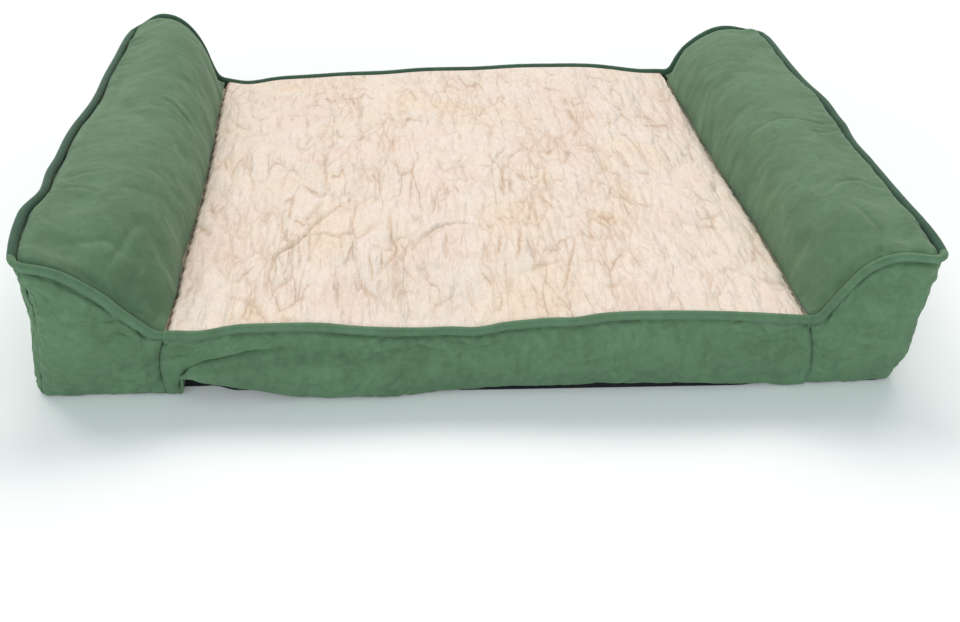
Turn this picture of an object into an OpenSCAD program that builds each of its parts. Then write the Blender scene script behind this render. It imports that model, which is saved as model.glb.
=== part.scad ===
// Dog sofa bed: a zipped cover of sewn panels with a welt round its top, over a foam slab,
// with a filled bolster along each side. Front is -Y, and the floor is z = 0.
// The right half is modelled, and the left is its mirror image.

/* [Bed] */
// Width of the base along the floor
bed_w = 914; // [760:1:1070]
// Depth between the front and back seams
bed_d = 686; // [560:1:820]
// Radius of the upright corners in plan
corner_r = 14; // [11:1:24]
// How far each side leans out between the floor and its welt
flare = 12; // [4:1:20]

/* [Cover] */
// Thickness of the suede cloth
cloth_t = 1.5; // [0.8:0.1:2.5]
// Thickness of the underside cloth
base_t = 1.5; // [0.8:0.1:3]
// How far the upright panels swell out between their seams
panel_swell = 8; // [2:0.5:14]
// Diameter of the welt
welt_d = 9; // [7:0.5:13]
// Height of the seam allowance that hangs from the welt
allowance_h = 9; // [4:0.5:14]
// Thickness of that seam allowance
allowance_t = 1; // [0.5:0.1:1.5]
// How far the front welt rises in its middle
front_rise = 5; // [0:0.5:12]
// How far the back welt rises in its middle
back_rise = 16; // [0:0.5:20]

/* [Quilt] */
// Thickness of the sleeping quilt along its sewn edge
quilt_edge_t = 8; // [6:0.5:14]
// How much thicker the quilt is in its middle
quilt_crown = 10; // [2:0.5:24]

/* [Bolsters] */
// Width of each bolster from its inner seam to the side of the bed
bolster_w = 122; // [112:1:150]
// Height of the bolster's end curve above the front seam
end_rise = 74; // [62:1:84]
// Height of the bolster's crest above the front seam
crest_rise = 92; // [84:1:105]
// Height of the side welt above the front seam, half way along
side_rise = 79; // [70:1:88]
// Radius where the end curve turns up from the front seam
fillet_r = 18; // [10:1:26]
// Radius of the end curve over its top
end_crown_r = 58; // [48:1:66]
// Slope of the end curve between its two radii, in degrees
end_slope = 54; // [46:1:62]
// Slope of the end curve down to the outer corner, in degrees
end_fall = 8; // [2:1:12]
// Direction in which the bolster's middle leaves its inner seam, in degrees from level
inner_lean = 98; // [84:1:104]
// How far the bolster's middle tucks in below the front seam's height
tuck = 2; // [0:0.5:4]

/* [Filling] */
// Thickness of the foam slab
foam_t = 76; // [60:1:100]
// Gap between the foam slab and the upright panels
foam_gap = 10; // [7:0.5:16]
// Radius of the foam slab's corners
foam_r = 20; // [6:1:40]
// Thickness of the lining under each bolster
lining_t = 1; // [0.5:0.1:1.5]
// Gap between the bolster cloth and its filling
fill_gap = 2; // [1.6:0.1:3]

/* [Zipper] */
// Width of each tape
tape_w = 14; // [9:0.5:18]
// Thickness of the tape
tape_t = 0.6; // [0.4:0.1:1]
// Gap between the two tapes
tape_gap = 4.4; // [4:0.1:5]
// How far the tapes lie in from the back seam
zip_inset = 3; // [1:0.5:5]
// Distance between teeth on one tape
tooth_pitch = 3.5; // [3.4:0.1:4.5]
// Thickness of a tooth through the tape
tooth_t = 2.6; // [2:0.1:3.4]
// Length of a tooth from its root to its tip
tooth_l = 4.9; // [4.6:0.1:5.2]
// Length of the slider
slider_l = 13; // [12:0.5:18]
// Width of the slider
slider_w = 11.6; // [11:0.1:14]
// Thickness of each of the slider's two plates
plate_t = 1.3; // [0.8:0.1:2]
// Length of the pull tab from its pivot
pull_l = 30; // [20:1:45]
// Width of the pull tab
pull_w = 6.4; // [5.4:0.1:8]
// Thickness of the pull tab
pull_t = 1.4; // [1:0.1:1.5]

/* [Hidden] */

// Gap between pieces that are sewn or laid together
fit = 0.3;
// How far a cutting solid runs past what it cuts
overrun = 1;
$fn = 48;

// Colours of the cloths, the fillings and the zipper
suede_green = [0.37, 0.51, 0.39];
welt_green = [0.33, 0.48, 0.37];
plush_cream = [0.93, 0.87, 0.81];
base_black = [0.09, 0.1, 0.11];
foam_white = [0.93, 0.9, 0.78];
lining_grey = [0.8, 0.8, 0.78];
fibre_white = [0.95, 0.95, 0.94];
tape_green = [0.24, 0.35, 0.27];
tooth_green = [0.2, 0.3, 0.23];
zip_metal = [0.62, 0.63, 0.64];

// Counts of cells in each sheet, and of rings and sides in each welt
quilt_cols = 22;
quilt_rows = 20;
bolster_cols = 12;
bolster_rows = 30;
fill_rows = 15;
front_cols = 20;
panel_rows = 4;
strip_rows = 3;
end_cols = 14;
corner_cols = 3;
side_cols = 15;
front_rings = 10;
// Angle between the corners of the welt's section
welt_step = 45;

// How sharply each swelling dies away at its seams: higher is flatter in the middle
swell_power = 8;
long_power = 6;
tall_power = 2.5;
quilt_power = 3;

// Heights, from the floor up
panel_z = base_t + fit;
foam_z = base_t + fit;
foam_top = foam_z + foam_t;
quilt_z = foam_top + fit;
lining_z = foam_top + fit;
fill_z = lining_z + lining_t + fit;
seam_h = quilt_z + quilt_edge_t;

// Half sizes in plan, measured to the middle of the cloth
half_base = bed_w / 2;
half_top = half_base + flare;
half_d = bed_d / 2;
half_cloth = cloth_t / 2;
seam_x = half_base - bolster_w;
bolster_x = seam_x + half_cloth;
flat_y = half_d - corner_r;

// The welt's radius, and the distance from its centre to the cloth sewn beside it
welt_r = welt_d / 2;
edge = welt_r + fit;
cloth_x = half_top - edge - half_cloth / 2;
cloth_y = half_d - edge;

// The end curve: up from the seam, over the top and down to the corner, as [length, turn] pieces
slope_l = (end_rise - (fillet_r + end_crown_r) * (1 - cos(end_slope))) / sin(end_slope);
curved_reach = fillet_r * sin(end_slope) + slope_l * cos(end_slope)
    + end_crown_r * (sin(end_slope) + sin(end_fall));
end_line_l = (half_top - corner_r - bolster_x - curved_reach) / cos(end_fall);
end_curve = [
    [arc_l(fillet_r, end_slope), end_slope],
    [slope_l, 0],
    [arc_l(end_crown_r, end_slope + end_fall), -end_slope - end_fall],
    [end_line_l, 0]
];
end_start = [bolster_x, seam_h, 0];
corner_z = walk(end_start, end_curve, curve_l(end_curve))[1];

// The same curve carried on to the outer edge of the bolster cloth
cloth_end_curve = concat(end_curve, [[(cloth_x - half_top + corner_r) / cos(end_fall), 0]]);

// The bolster's section half way along: round over the crest, then falling to the side welt
crest_r = (crest_rise + tuck) / (1 - cos(inner_lean));
outer_run = cloth_x - bolster_x - crest_r * sin(inner_lean);
outer_drop = crest_rise - side_rise;
outer_r = (outer_run * outer_run + outer_drop * outer_drop) / (2 * outer_drop);
outer_turn = asin(outer_run / outer_r);
mid_curve = [
    [arc_l(crest_r, inner_lean), -inner_lean],
    [arc_l(outer_r, outer_turn), -outer_turn]
];
mid_start = [bolster_x, seam_h - tuck, inner_lean];

// The filling stops short of the bolster cloth's ends by this much
fill_end_gap = fill_gap + fit;
fill_y = cloth_y - fill_end_gap;

// The zipper's plane, its centre line and the slot between the back strips
slider_play = 0.8;
zip_y = half_d - zip_inset;
zip_z = (panel_z + seam_h - edge) / 2;
slot_half = slider_w / 2 + slider_play;
strip_y = zip_y + tape_t / 2 + fit + half_cloth;
back_half = bolster_x - fit;

// A tooth: half widths of its root, neck and head, and where they lie from the centre line
tooth_fit = 0.1;
tooth_tip = 1.3;
tooth_head_z = 0.5;
tooth_neck_z = 0.9;
tooth_shoulder_z = 1.5;
root_half = 1;
neck_half = 0.55;
head_half = 0.85;
tip_half = 0.5;

// The slider, from its centre: the nose is towards -X, where the teeth part round its post
flange_w = 1.4;
post_l = 3.5;
post_half = 1.2;
nose_chamfer = 2.5;
tail_chamfer = 1.5;
plate_gap = tooth_t + 2 * fit;
flange_gap = tape_t + 2 * fit;
plate_y = plate_gap / 2;
plate_top = plate_y + plate_t;
bridge_t = 1.6;
bridge_post = 1.7;
bridge_half = 4;
bar_r = 0.8;
bar_play = 0.2;
bridge_clear = 2 * bar_r + fit + bar_play;
bridge_top_t = 1.1;
bridge_h = bridge_clear + bridge_top_t;
pull_window = 5.6;
window_play = 0.45;
grip_r = 1.5;

// The stops, and where the chain runs between them
stop_l = 2.5;
stop_w = 1.5;
stop_t = plate_gap;
zip_margin = 36;
stop_x = -back_half + zip_margin;
slider_x = stop_x + stop_l + fit + slider_l / 2;
chain_x = slider_x - slider_l / 2 + post_l + fit + head_half;
bottom_stop_x = back_half - zip_margin;
chain_teeth = floor((bottom_stop_x - fit - root_half - tooth_pitch / 2 - chain_x) / tooth_pitch) + 1;

// Length of an arc of radius r through angle a
function arc_l(r, a) = r * a * PI / 180;

// Total length of a curve of [length, turn] pieces
function curve_l(curve, i = 0) = i < len(curve) ? curve[i][0] + curve_l(curve, i + 1) : 0;

// One step of length d that turns by a, from p = [x, z, heading]
function stride(p, d, a) = a == 0
    ? [p[0] + d * cos(p[2]), p[1] + d * sin(p[2]), p[2]]
    : let (r = d * 180 / PI / a, h = p[2] + a)
        [p[0] + r * (sin(h) - sin(p[2])), p[1] - r * (cos(h) - cos(p[2])), h];

// Where a curve has got to after distance s: [x, z, heading]
function walk(p, curve, s, i = 0) =
    let (l = curve[i][0], d = i < len(curve) - 1 ? min(s, l) : s, q = stride(p, d, curve[i][1] * d / l))
        i == len(curve) - 1 || s <= l ? q : walk(q, curve, s - l, i + 1);

// A point at share v of a curve's length, moved by out to the curve's outer side: [x, z, heading]
function along(start, curve, v, out) =
    let (p = walk(start, curve, v * curve_l(curve)))
        [p[0] - out * sin(p[2]), p[1] + out * cos(p[2]), p[2]];

function mix(a, b, t) = a + (b - a) * t;

// A swelling that is 0 at u = 0 and u = 1, and 1 half way between
function pillow(u, power) = 1 - pow(abs(2 * u - 1), power);

// The same swelling along the bed, flat beyond the upright corners
function swell(y) = abs(y) >= flat_y ? 0 : 1 - pow(abs(y) / flat_y, swell_power);

// Height of the welt along the front and back and of the quilt between them, and of the side welts
function seam_z(x, y) =
    let (rise = mix(front_rise, back_rise, (y / half_d + 1) / 2))
    seam_h + rise * max(0, 1 - x * x / bolster_x / bolster_x);
function side_z(y) = mix(corner_z, seam_h + side_rise, swell(y));

// Positions from -half to half, closer together towards both ends
function spaced(n, half) = [for (i = [0 : n]) -half * cos(180 * i / n)];

// Rounds the bolster's square corner in plan to follow the welt's bend
function ease_corner(x, y) =
    let (a = x - half_top + corner_r, b = abs(y) - flat_y, m = max(a, b), l = norm([a, b]))
        a > 0 && b > 0 ? [half_top - corner_r + a * m / l, sign(y) * (flat_y + b * m / l)] : [x, y];

// A point of the bolster's surface at share v of its section, offset outwards by out
function bolster_point(v, y, out) =
    let (e = along(end_start, cloth_end_curve, v, out), m = along(mid_start, mid_curve, v, out), b = swell(y))
    let (p = ease_corner(mix(e[0], m[0], b), y))
        [p[0], p[1], mix(e[1], m[1], b)];

function bolster_grid(cols, ys, out) = [for (i = [0 : cols]) [for (y = ys) bolster_point(i / cols, y, out)]];

// Triangles of a grid of m by n points that starts at index s: outward is across then along
function grid_faces(m, n, s, flip) = [
    for (i = [0 : m - 2]) for (j = [0 : n - 2])
        let (a = s + i * n + j, b = a + n)
        each flip ? [[a, b, b + 1], [a, b + 1, a + 1]] : [[a, a + 1, b + 1], [a, b + 1, b]]
];

// Indices round the edge of such a grid
function rim(m, n, s) = concat(
    [for (j = [0 : n - 2]) s + j],
    [for (i = [0 : m - 2]) s + i * n + n - 1],
    [for (j = [n - 1 : -1 : 1]) s + (m - 1) * n + j],
    [for (i = [m - 1 : -1 : 1]) s + i * n]
);

// Triangles that join two rims of the same length
function wall_faces(p, q) = [
    for (i = [0 : len(p) - 1])
        let (k = (i + 1) % len(p))
        each [[p[i], q[i], q[k]], [p[i], q[k], p[k]]]
];

// A sheet of cloth between two grids of points
module sheet(outer, inner) {
    m = len(outer);
    n = len(outer[0]);
    s = m * n;
    polyhedron(
        points = [for (g = [outer, inner]) for (row = g) each row],
        faces = concat(
            grid_faces(m, n, 0, false),
            grid_faces(m, n, s, true),
            wall_faces(rim(m, n, 0), rim(m, n, s))
        )
    );
}

// A stuffed piece: a grid of points on top, standing on a flat underside at height z
module stuffed(top, z) {
    m = len(top);
    n = len(top[0]);
    points = [for (row = top) each row];
    around = rim(m, n, 0);
    foot = [for (k = around) [points[k][0], points[k][1], z]];
    under = [for (k = [0 : len(foot) - 1]) m * n + k];
    middle = m * n + len(foot);
    centre = (points[0] + points[m * n - 1]) / 2;
    polyhedron(
        points = concat(points, foot, [[centre[0], centre[1], z]]),
        faces = concat(
            grid_faces(m, n, 0, false),
            wall_faces(around, under),
            [for (k = [0 : len(under) - 1]) [under[k], middle, under[(k + 1) % len(under)]]]
        )
    );
}

// Columns of an upright panel: [plan point at its foot, plan point at its top, outward normal, height of its top]
function front_columns() = [
    for (i = [0 : front_cols])
        let (x = mix(-back_half, back_half, i / front_cols))
        [[x, -half_d], [x, -half_d], [0, -1], seam_z(x, -half_d) - edge]
];
function end_columns() = concat(
    [
        for (i = [0 : end_cols])
            let (p = along(end_start, end_curve, i / end_cols, -edge))
            let (share = (p[0] - bolster_x) / (half_top - corner_r - bolster_x))
            [[mix(bolster_x, half_base - corner_r, share), -half_d], [p[0], -half_d], [0, -1], p[1]]
    ],
    corner_columns([for (i = [1 : corner_cols]) (45 - corner_gap) * i / corner_cols])
);
function corner_columns(angles) = [
    for (a = angles)
        let (n = [sin(a), -cos(a)])
        [
            [half_base - corner_r, -flat_y] + corner_r * n,
            [half_top - corner_r, -flat_y] + corner_r * n,
            n,
            corner_z - edge
        ]
];
function side_columns() =
    let (first = corner_columns([for (i = [0 : corner_cols - 1]) mix(45 + corner_gap, 90, i / corner_cols)]))
    concat(
        first,
        [for (y = spaced(side_cols, flat_y)) [[half_base, y], [half_top, y], [1, 0], side_z(y) - edge]],
        [
            for (i = [len(first) - 1 : -1 : 0])
                let (c = first[i])
                [[c[0][0], -c[0][1]], [c[1][0], -c[1][1]], [c[2][0], -c[2][1]], c[3]]
        ]
    );

// Angle that leaves half the sewing gap at an upright corner seam
corner_gap = fit / 2 / corner_r * 180 / PI;

// The points of an upright panel, at distance out from the middle of its cloth
function upright_grid(columns, rows, out) = [
    for (i = [0 : len(columns) - 1])
        let (c = columns[i], swelling = panel_swell * pillow(i / (len(columns) - 1), long_power))
        [
            for (j = [0 : rows])
                let (t = j / rows, p = mix(c[0], c[1], t) + c[2] * (out + swelling * pillow(t, tall_power)))
                [p[0], p[1], mix(panel_z, c[3], t)]
        ]
];

module upright(columns, rows) {
    sheet(upright_grid(columns, rows, half_cloth), upright_grid(columns, rows, -half_cloth));
}

// The welt's section, [outward, upward]: a round cord cover with its seam allowance behind the panel,
// which leans inwards as the side panels do
allowance_near = -half_cloth - fit;
allowance_far = allowance_near - allowance_t;
allowance_lean = flare * allowance_h / (corner_z - edge - panel_z);
welt_section = concat(
    [
        [allowance_near - allowance_lean, -welt_r - allowance_h],
        [allowance_near, -sqrt(welt_r * welt_r - allowance_near * allowance_near)]
    ],
    [for (a = [-welt_step : welt_step : 5 * welt_step]) welt_r * [cos(a), sin(a)]],
    [
        [allowance_far, -sqrt(welt_r * welt_r - allowance_far * allowance_far)],
        [allowance_far - allowance_lean, -welt_r - allowance_h]
    ]
);

// The welt swept through rings, each given as [centre, outward, upward]
module welt(rings) {
    n = len(rings);
    m = len(welt_section);
    polyhedron(
        points = [for (ring = rings) for (s = welt_section) ring[0] + ring[1] * s[0] + ring[2] * s[1]],
        faces = concat(
            [
                for (i = [0 : n - 2]) for (j = [0 : m - 1])
                    let (a = i * m + j, b = i * m + (j + 1) % m)
                    each [[a, b, b + m], [a, b + m, a + m]]
            ],
            [[for (j = [m - 1 : -1 : 0]) j]],
            [[for (j = [0 : m - 1]) (n - 1) * m + j]]
        )
    );
}

// The welt along the front, or mirrored along the back, with the rise that it has at y
module level_welt(y) {
    welt([
        for (i = [0 : front_rings])
            let (x = mix(-back_half, back_half, i / front_rings))
            [[x, -half_d, seam_z(x, y)], [0, -1, 0], [0, 0, 1]]
    ]);
}

module end_welt() {
    welt(concat(
        [
            for (i = [0 : end_cols])
                let (p = along(end_start, end_curve, i / end_cols, 0))
                [[p[0], -half_d, p[1]], [0, -1, 0], [-sin(p[2]), 0, cos(p[2])]]
        ],
        [
            for (i = [1 : 2 * corner_cols])
                let (a = 45 * i / corner_cols, n = [sin(a), -cos(a), 0])
                [[half_top - corner_r, -flat_y, corner_z] + corner_r * n, n, [0, 0, 1]]
        ]
    ));
}

module side_welt() {
    welt([for (y = spaced(side_cols, flat_y - fit)) [[half_top, y, side_z(y)], [1, 0, 0], [0, 0, 1]]]);
}

module left() mirror([1, 0, 0]) children();
module back() mirror([0, 1, 0]) children();

// The sleeping quilt, thickest in its middle
module sleep_quilt() {
    half_x = seam_x - fit;
    xs = [for (i = [0 : quilt_cols]) mix(-half_x, half_x, i / quilt_cols)];
    ys = [for (j = [0 : quilt_rows]) mix(-cloth_y, cloth_y, j / quilt_rows)];
    top = [
        for (i = [0 : quilt_cols]) [
            for (j = [0 : quilt_rows])
                let (thick = pillow(i / quilt_cols, quilt_power) * pillow(j / quilt_rows, quilt_power))
                [xs[i], ys[j], seam_z(xs[i], ys[j]) + quilt_crown * thick]
        ]
    ];
    color(plush_cream) stuffed(top, quilt_z);
}

// The cloth over one bolster, drawn in towards both ends
module bolster_cloth() {
    ys = concat([-cloth_y], spaced(bolster_rows, flat_y), [cloth_y]);
    color(suede_green)
        sheet(bolster_grid(bolster_cols, ys, half_cloth), bolster_grid(bolster_cols, ys, -half_cloth));
}

// The fibre filling of one bolster
module bolster_fill() {
    ys = spaced(fill_rows, fill_y);
    color(fibre_white) stuffed(bolster_grid(bolster_cols, ys, -half_cloth - fill_gap), fill_z);
}

// The lining that closes one bolster above the foam
module bolster_lining() {
    inner = bolster_x + half_cloth + fill_gap;
    outer = half_base - fill_end_gap;
    color(lining_grey)
        translate([inner, -fill_y, lining_z]) cube([outer - inner, 2 * fill_y, lining_t]);
}

module front_panel() color(suede_green) upright(front_columns(), panel_rows);
module end_panel() color(suede_green) upright(end_columns(), panel_rows);
module side_panel() color(suede_green) upright(side_columns(), panel_rows);

// A strip of the back between heights low and high, with its zipper edge at the foot (0) or the top (1)
function strip_grid(low, high, zip_end, out) = [
    for (i = [0 : front_cols])
        let (x = mix(back_half, -back_half, i / front_cols), lengthwise = pillow(i / front_cols, long_power))
        let (top = zip_end == 0 ? seam_z(x, half_d) - edge : high)
        [
            for (j = [0 : strip_rows])
                let (t = j / strip_rows, near = mix(zip_end == 0 ? strip_y : half_d, zip_end == 0 ? half_d : strip_y, t))
                [x, near + out + panel_swell * lengthwise * pillow(t, tall_power), mix(low, top, t)]
        ]
];

module back_strip(low, high, zip_end)
    color(suede_green)
        sheet(strip_grid(low, high, zip_end, half_cloth), strip_grid(low, high, zip_end, -half_cloth));

// A plate with rounded corners
module rounded_plate(w, d, r, t) {
    linear_extrude(t) {
        square([w - 2 * r, d], center = true);
        square([w, d - 2 * r], center = true);
        for (x = [-1, 1]) for (y = [-1, 1])
            translate([x * (w / 2 - r), y * (d / 2 - r)]) circle(r);
    }
}

module base_panel()
    color(base_black) rounded_plate(bed_w + cloth_t, bed_d + cloth_t, corner_r + half_cloth, base_t);

module foam_slab()
    color(foam_white)
        translate([0, 0, foam_z])
            rounded_plate(bed_w - 2 * foam_gap, bed_d - 2 * foam_gap, foam_r, foam_t);

// Places a zipper piece: children are drawn with the zipper's centre line along X at the origin
module at_zipper(x = 0) translate([x, zip_y, zip_z]) children();

// One tape, above the centre line
module tape()
    color(tape_green)
        at_zipper() translate([-back_half, -tape_t / 2, tape_gap / 2]) cube([2 * back_half, tape_t, tape_w]);

// The space that the tape takes in what is clamped over it
module tape_slot(from, length)
    translate([from - overrun, -tape_t / 2 - tooth_fit, tape_gap / 2 - tooth_fit])
        cube([length + 2 * overrun, tape_t + 2 * tooth_fit, tape_w]);

// A row of teeth clamped on the edge of the upper tape
module tooth_row(first) {
    root_z = tooth_l - tooth_tip;
    outline = [
        [root_half, root_z], [root_half, tooth_shoulder_z], [neck_half, tooth_neck_z],
        [head_half, -tooth_head_z], [tip_half, -tooth_tip]
    ];
    far_side = [for (i = [len(outline) - 1 : -1 : 0]) [-outline[i][0], outline[i][1]]];
    color(tooth_green)
        at_zipper()
            difference() {
                for (i = [0 : chain_teeth - 1])
                    translate([first + i * tooth_pitch, tooth_t / 2, 0])
                        rotate([90, 0, 0]) linear_extrude(tooth_t) polygon(concat(outline, far_side));
                tape_slot(first - tooth_pitch, (chain_teeth + 1) * tooth_pitch);
            }
}

module mirror_over_zipper() translate([0, 0, 2 * zip_z]) mirror([0, 0, 1]) children();

// A block clamped over the edge of the upper tape in front of the slider
module top_stop()
    color(zip_metal)
        at_zipper(stop_x)
            difference() {
                translate([0, -stop_t / 2, tape_gap / 2 - overrun]) cube([stop_l, stop_t, stop_w + overrun]);
                tape_slot(0, stop_l);
            }

// The block that joins both tapes behind the last teeth
module bottom_stop()
    color(zip_metal)
        at_zipper(bottom_stop_x)
            difference() {
                translate([0, -stop_t / 2, -tape_gap / 2 - stop_w])
                    cube([stop_l, stop_t, tape_gap + 2 * stop_w]);
                tape_slot(0, stop_l);
                mirror([0, 0, 1]) tape_slot(0, stop_l);
            }

// The slider: two plates joined by a post at the nose, side flanges, and a bridge for the pull
module zipper_slider() {
    half_l = slider_l / 2;
    half_w = slider_w / 2;
    plate = [
        [-half_l, half_w - nose_chamfer], [-half_l + nose_chamfer, half_w],
        [half_l - tail_chamfer, half_w], [half_l, half_w - tail_chamfer]
    ];
    outline = concat(plate, [for (i = [len(plate) - 1 : -1 : 0]) [plate[i][0], -plate[i][1]]]);
    flange_l = slider_l - nose_chamfer - tail_chamfer;
    color(zip_metal)
        at_zipper(slider_x) {
            for (side = [-1, 1]) {
                translate([0, side * (plate_y + plate_t / 2) + plate_t / 2, 0])
                    rotate([90, 0, 0]) linear_extrude(plate_t) polygon(outline);
                for (z = [-1, 1])
                    translate([
                        -half_l + nose_chamfer,
                        side > 0 ? flange_gap / 2 : -plate_y - plate_t / 2,
                        z > 0 ? half_w - flange_w : -half_w
                    ])
                        cube([flange_l, plate_y + plate_t / 2 - flange_gap / 2, flange_w]);
            }
            translate([-half_l, -plate_top + plate_t / 2, -post_half])
                cube([post_l, 2 * plate_top - plate_t, 2 * post_half]);
            bridge();
        }
}

// The bridge stands on the outer plate, along the zipper
module bridge() {
    translate([0, plate_top, -bridge_t / 2])
        linear_extrude(bridge_t)
            difference() {
                union() {
                    translate([-bridge_half, -plate_t / 2])
                        square([2 * bridge_half, bridge_h + plate_t / 2 - bridge_post / 2]);
                    translate([-bridge_half + bridge_post / 2, 0])
                        square([2 * bridge_half - bridge_post, bridge_h]);
                    for (x = [-1, 1])
                        translate([x * (bridge_half - bridge_post / 2), bridge_h - bridge_post / 2])
                            circle(bridge_post / 2);
                }
                translate([-bridge_half + bridge_post, 0])
                    square([2 * (bridge_half - bridge_post), bridge_clear]);
            }
}

// The pull: a tab whose cross bar turns under the bridge
module zipper_pull() {
    bar_y = plate_top + fit + bar_r;
    window_half = bridge_t / 2 + window_play;
    tip_r = pull_w / 2;
    color(zip_metal)
        at_zipper(slider_x)
            translate([0, bar_y, 0]) {
                translate([0, 0, -pull_w / 2]) cylinder(h = pull_w, r = bar_r);
                translate([0, pull_t / 2, 0])
                    rotate([90, 0, 0])
                        linear_extrude(pull_t)
                            difference() {
                                union() {
                                    translate([-pull_l + tip_r, -pull_w / 2]) square([pull_l - tip_r, pull_w]);
                                    translate([-pull_l + tip_r, 0]) circle(tip_r);
                                }
                                translate([-pull_window, -window_half])
                                    square([pull_window + overrun, 2 * window_half]);
                                translate([-pull_l + tip_r, 0]) circle(grip_r);
                            }
            }
}

sleep_quilt();
left() bolster_cloth();  // bolster_cloth_left
bolster_cloth();  // bolster_cloth_right
front_panel();
left() end_panel();  // front_end_panel_left
end_panel();  // front_end_panel_right
left() side_panel();  // side_panel_left
side_panel();  // side_panel_right
back_strip(zip_z + slot_half, 0, 0);  // back_panel_upper
back_strip(panel_z, zip_z - slot_half, 1);  // back_panel_lower
back() left() end_panel();  // back_end_panel_left
back() end_panel();  // back_end_panel_right
base_panel();
color(welt_green) level_welt(-half_d);  // front_welt
color(welt_green) left() end_welt();  // front_end_welt_left
color(welt_green) end_welt();  // front_end_welt_right
color(welt_green) left() side_welt();  // side_welt_left
color(welt_green) side_welt();  // side_welt_right
color(welt_green) back() level_welt(half_d);  // back_welt
color(welt_green) back() left() end_welt();  // back_end_welt_left
color(welt_green) back() end_welt();  // back_end_welt_right
foam_slab();
left() bolster_lining();  // bolster_lining_left
bolster_lining();  // bolster_lining_right
left() bolster_fill();  // bolster_fill_left
bolster_fill();  // bolster_fill_right
tape();  // zipper_tape_upper
mirror_over_zipper() tape();  // zipper_tape_lower
tooth_row(chain_x);  // zipper_teeth_upper
mirror_over_zipper() tooth_row(chain_x + tooth_pitch / 2);  // zipper_teeth_lower
union() {  // zipper_top_stops
    top_stop();
    mirror_over_zipper() top_stop();
}
bottom_stop();  // zipper_bottom_stop
zipper_slider();
zipper_pull();
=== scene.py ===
import logging
import math
from dataclasses import astuple, dataclass, field
from enum import Enum
from typing import ClassVar

import bpy
import numpy as np
from mathutils import Matrix, Vector


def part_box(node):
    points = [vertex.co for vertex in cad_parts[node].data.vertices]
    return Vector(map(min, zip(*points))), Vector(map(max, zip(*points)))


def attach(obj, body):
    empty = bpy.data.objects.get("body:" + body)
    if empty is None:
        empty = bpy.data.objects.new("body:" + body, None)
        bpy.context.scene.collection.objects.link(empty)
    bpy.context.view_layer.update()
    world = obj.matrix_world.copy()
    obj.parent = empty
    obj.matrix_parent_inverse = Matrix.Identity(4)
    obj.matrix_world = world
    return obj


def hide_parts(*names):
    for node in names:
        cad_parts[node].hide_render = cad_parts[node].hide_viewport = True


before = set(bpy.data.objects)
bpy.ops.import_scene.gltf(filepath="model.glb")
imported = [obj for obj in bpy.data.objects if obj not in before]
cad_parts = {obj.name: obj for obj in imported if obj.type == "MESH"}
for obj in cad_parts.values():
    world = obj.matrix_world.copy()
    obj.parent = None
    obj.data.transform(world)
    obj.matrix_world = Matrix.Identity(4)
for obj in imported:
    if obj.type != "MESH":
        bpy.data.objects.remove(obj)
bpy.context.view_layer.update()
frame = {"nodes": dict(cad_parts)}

LOG = logging.getLogger("dog_sofa_bed")

Grid = np.ndarray
"""Points in a grid of columns by rows by three coordinates, in metres."""

Colour = tuple[float, float, float, float]
"""A linear colour and its alpha."""

Value = float | np.ndarray
"""One number, or one for each place."""


class Side(Enum):
    """The two arms of the bed, as the sign of their X."""

    LEFT = -1
    RIGHT = 1


class End(Enum):
    """The two open edges of the bed, as the sign of their Y."""

    FRONT = -1
    BACK = 1


class Upright(Enum):
    """The kinds of panel that stand between two upright seams."""

    FRONT = "front"
    END = "end"
    SIDE = "side"


class Strip(Enum):
    """The two strips beside the zipper, as what each adds to a seed."""

    UPPER = 1
    LOWER = 0


def mix(a: Value, b: Value, share: Value) -> Value:
    """Go from a to b.

    Args:
        a: The value at share 0.
        b: The value at share 1.
        share: How far to go.

    Returns:
        The value in between.
    """
    return a + (b - a) * share


def ramp(low: float, high: float, value: np.ndarray) -> np.ndarray:
    """Rise smoothly from 0 at low to 1 at high.

    Args:
        low: Where the rise begins.
        high: Where it ends.
        value: Where it is wanted.

    Returns:
        Shares from 0 to 1.
    """
    share = np.clip((value - low) / (high - low), 0.0, 1.0)
    return share * share * (3.0 - 2.0 * share)


def hump(distance: np.ndarray, reach: float) -> np.ndarray:
    """A smooth hump of height 1.

    Args:
        distance: Distance from its middle.
        reach: Distance at which it has fallen to about a third.

    Returns:
        The hump's height.
    """
    return np.exp(-((distance / reach) ** 2))


def stacked(*values: Value) -> np.ndarray:
    """Put values side by side, such as coordinates into points.

    Args:
        values: An array for each coordinate, or one number for all its places.

    Returns:
        An array with the coordinates along its last axis.
    """
    return np.stack(np.broadcast_arrays(*values), axis=-1)


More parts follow.
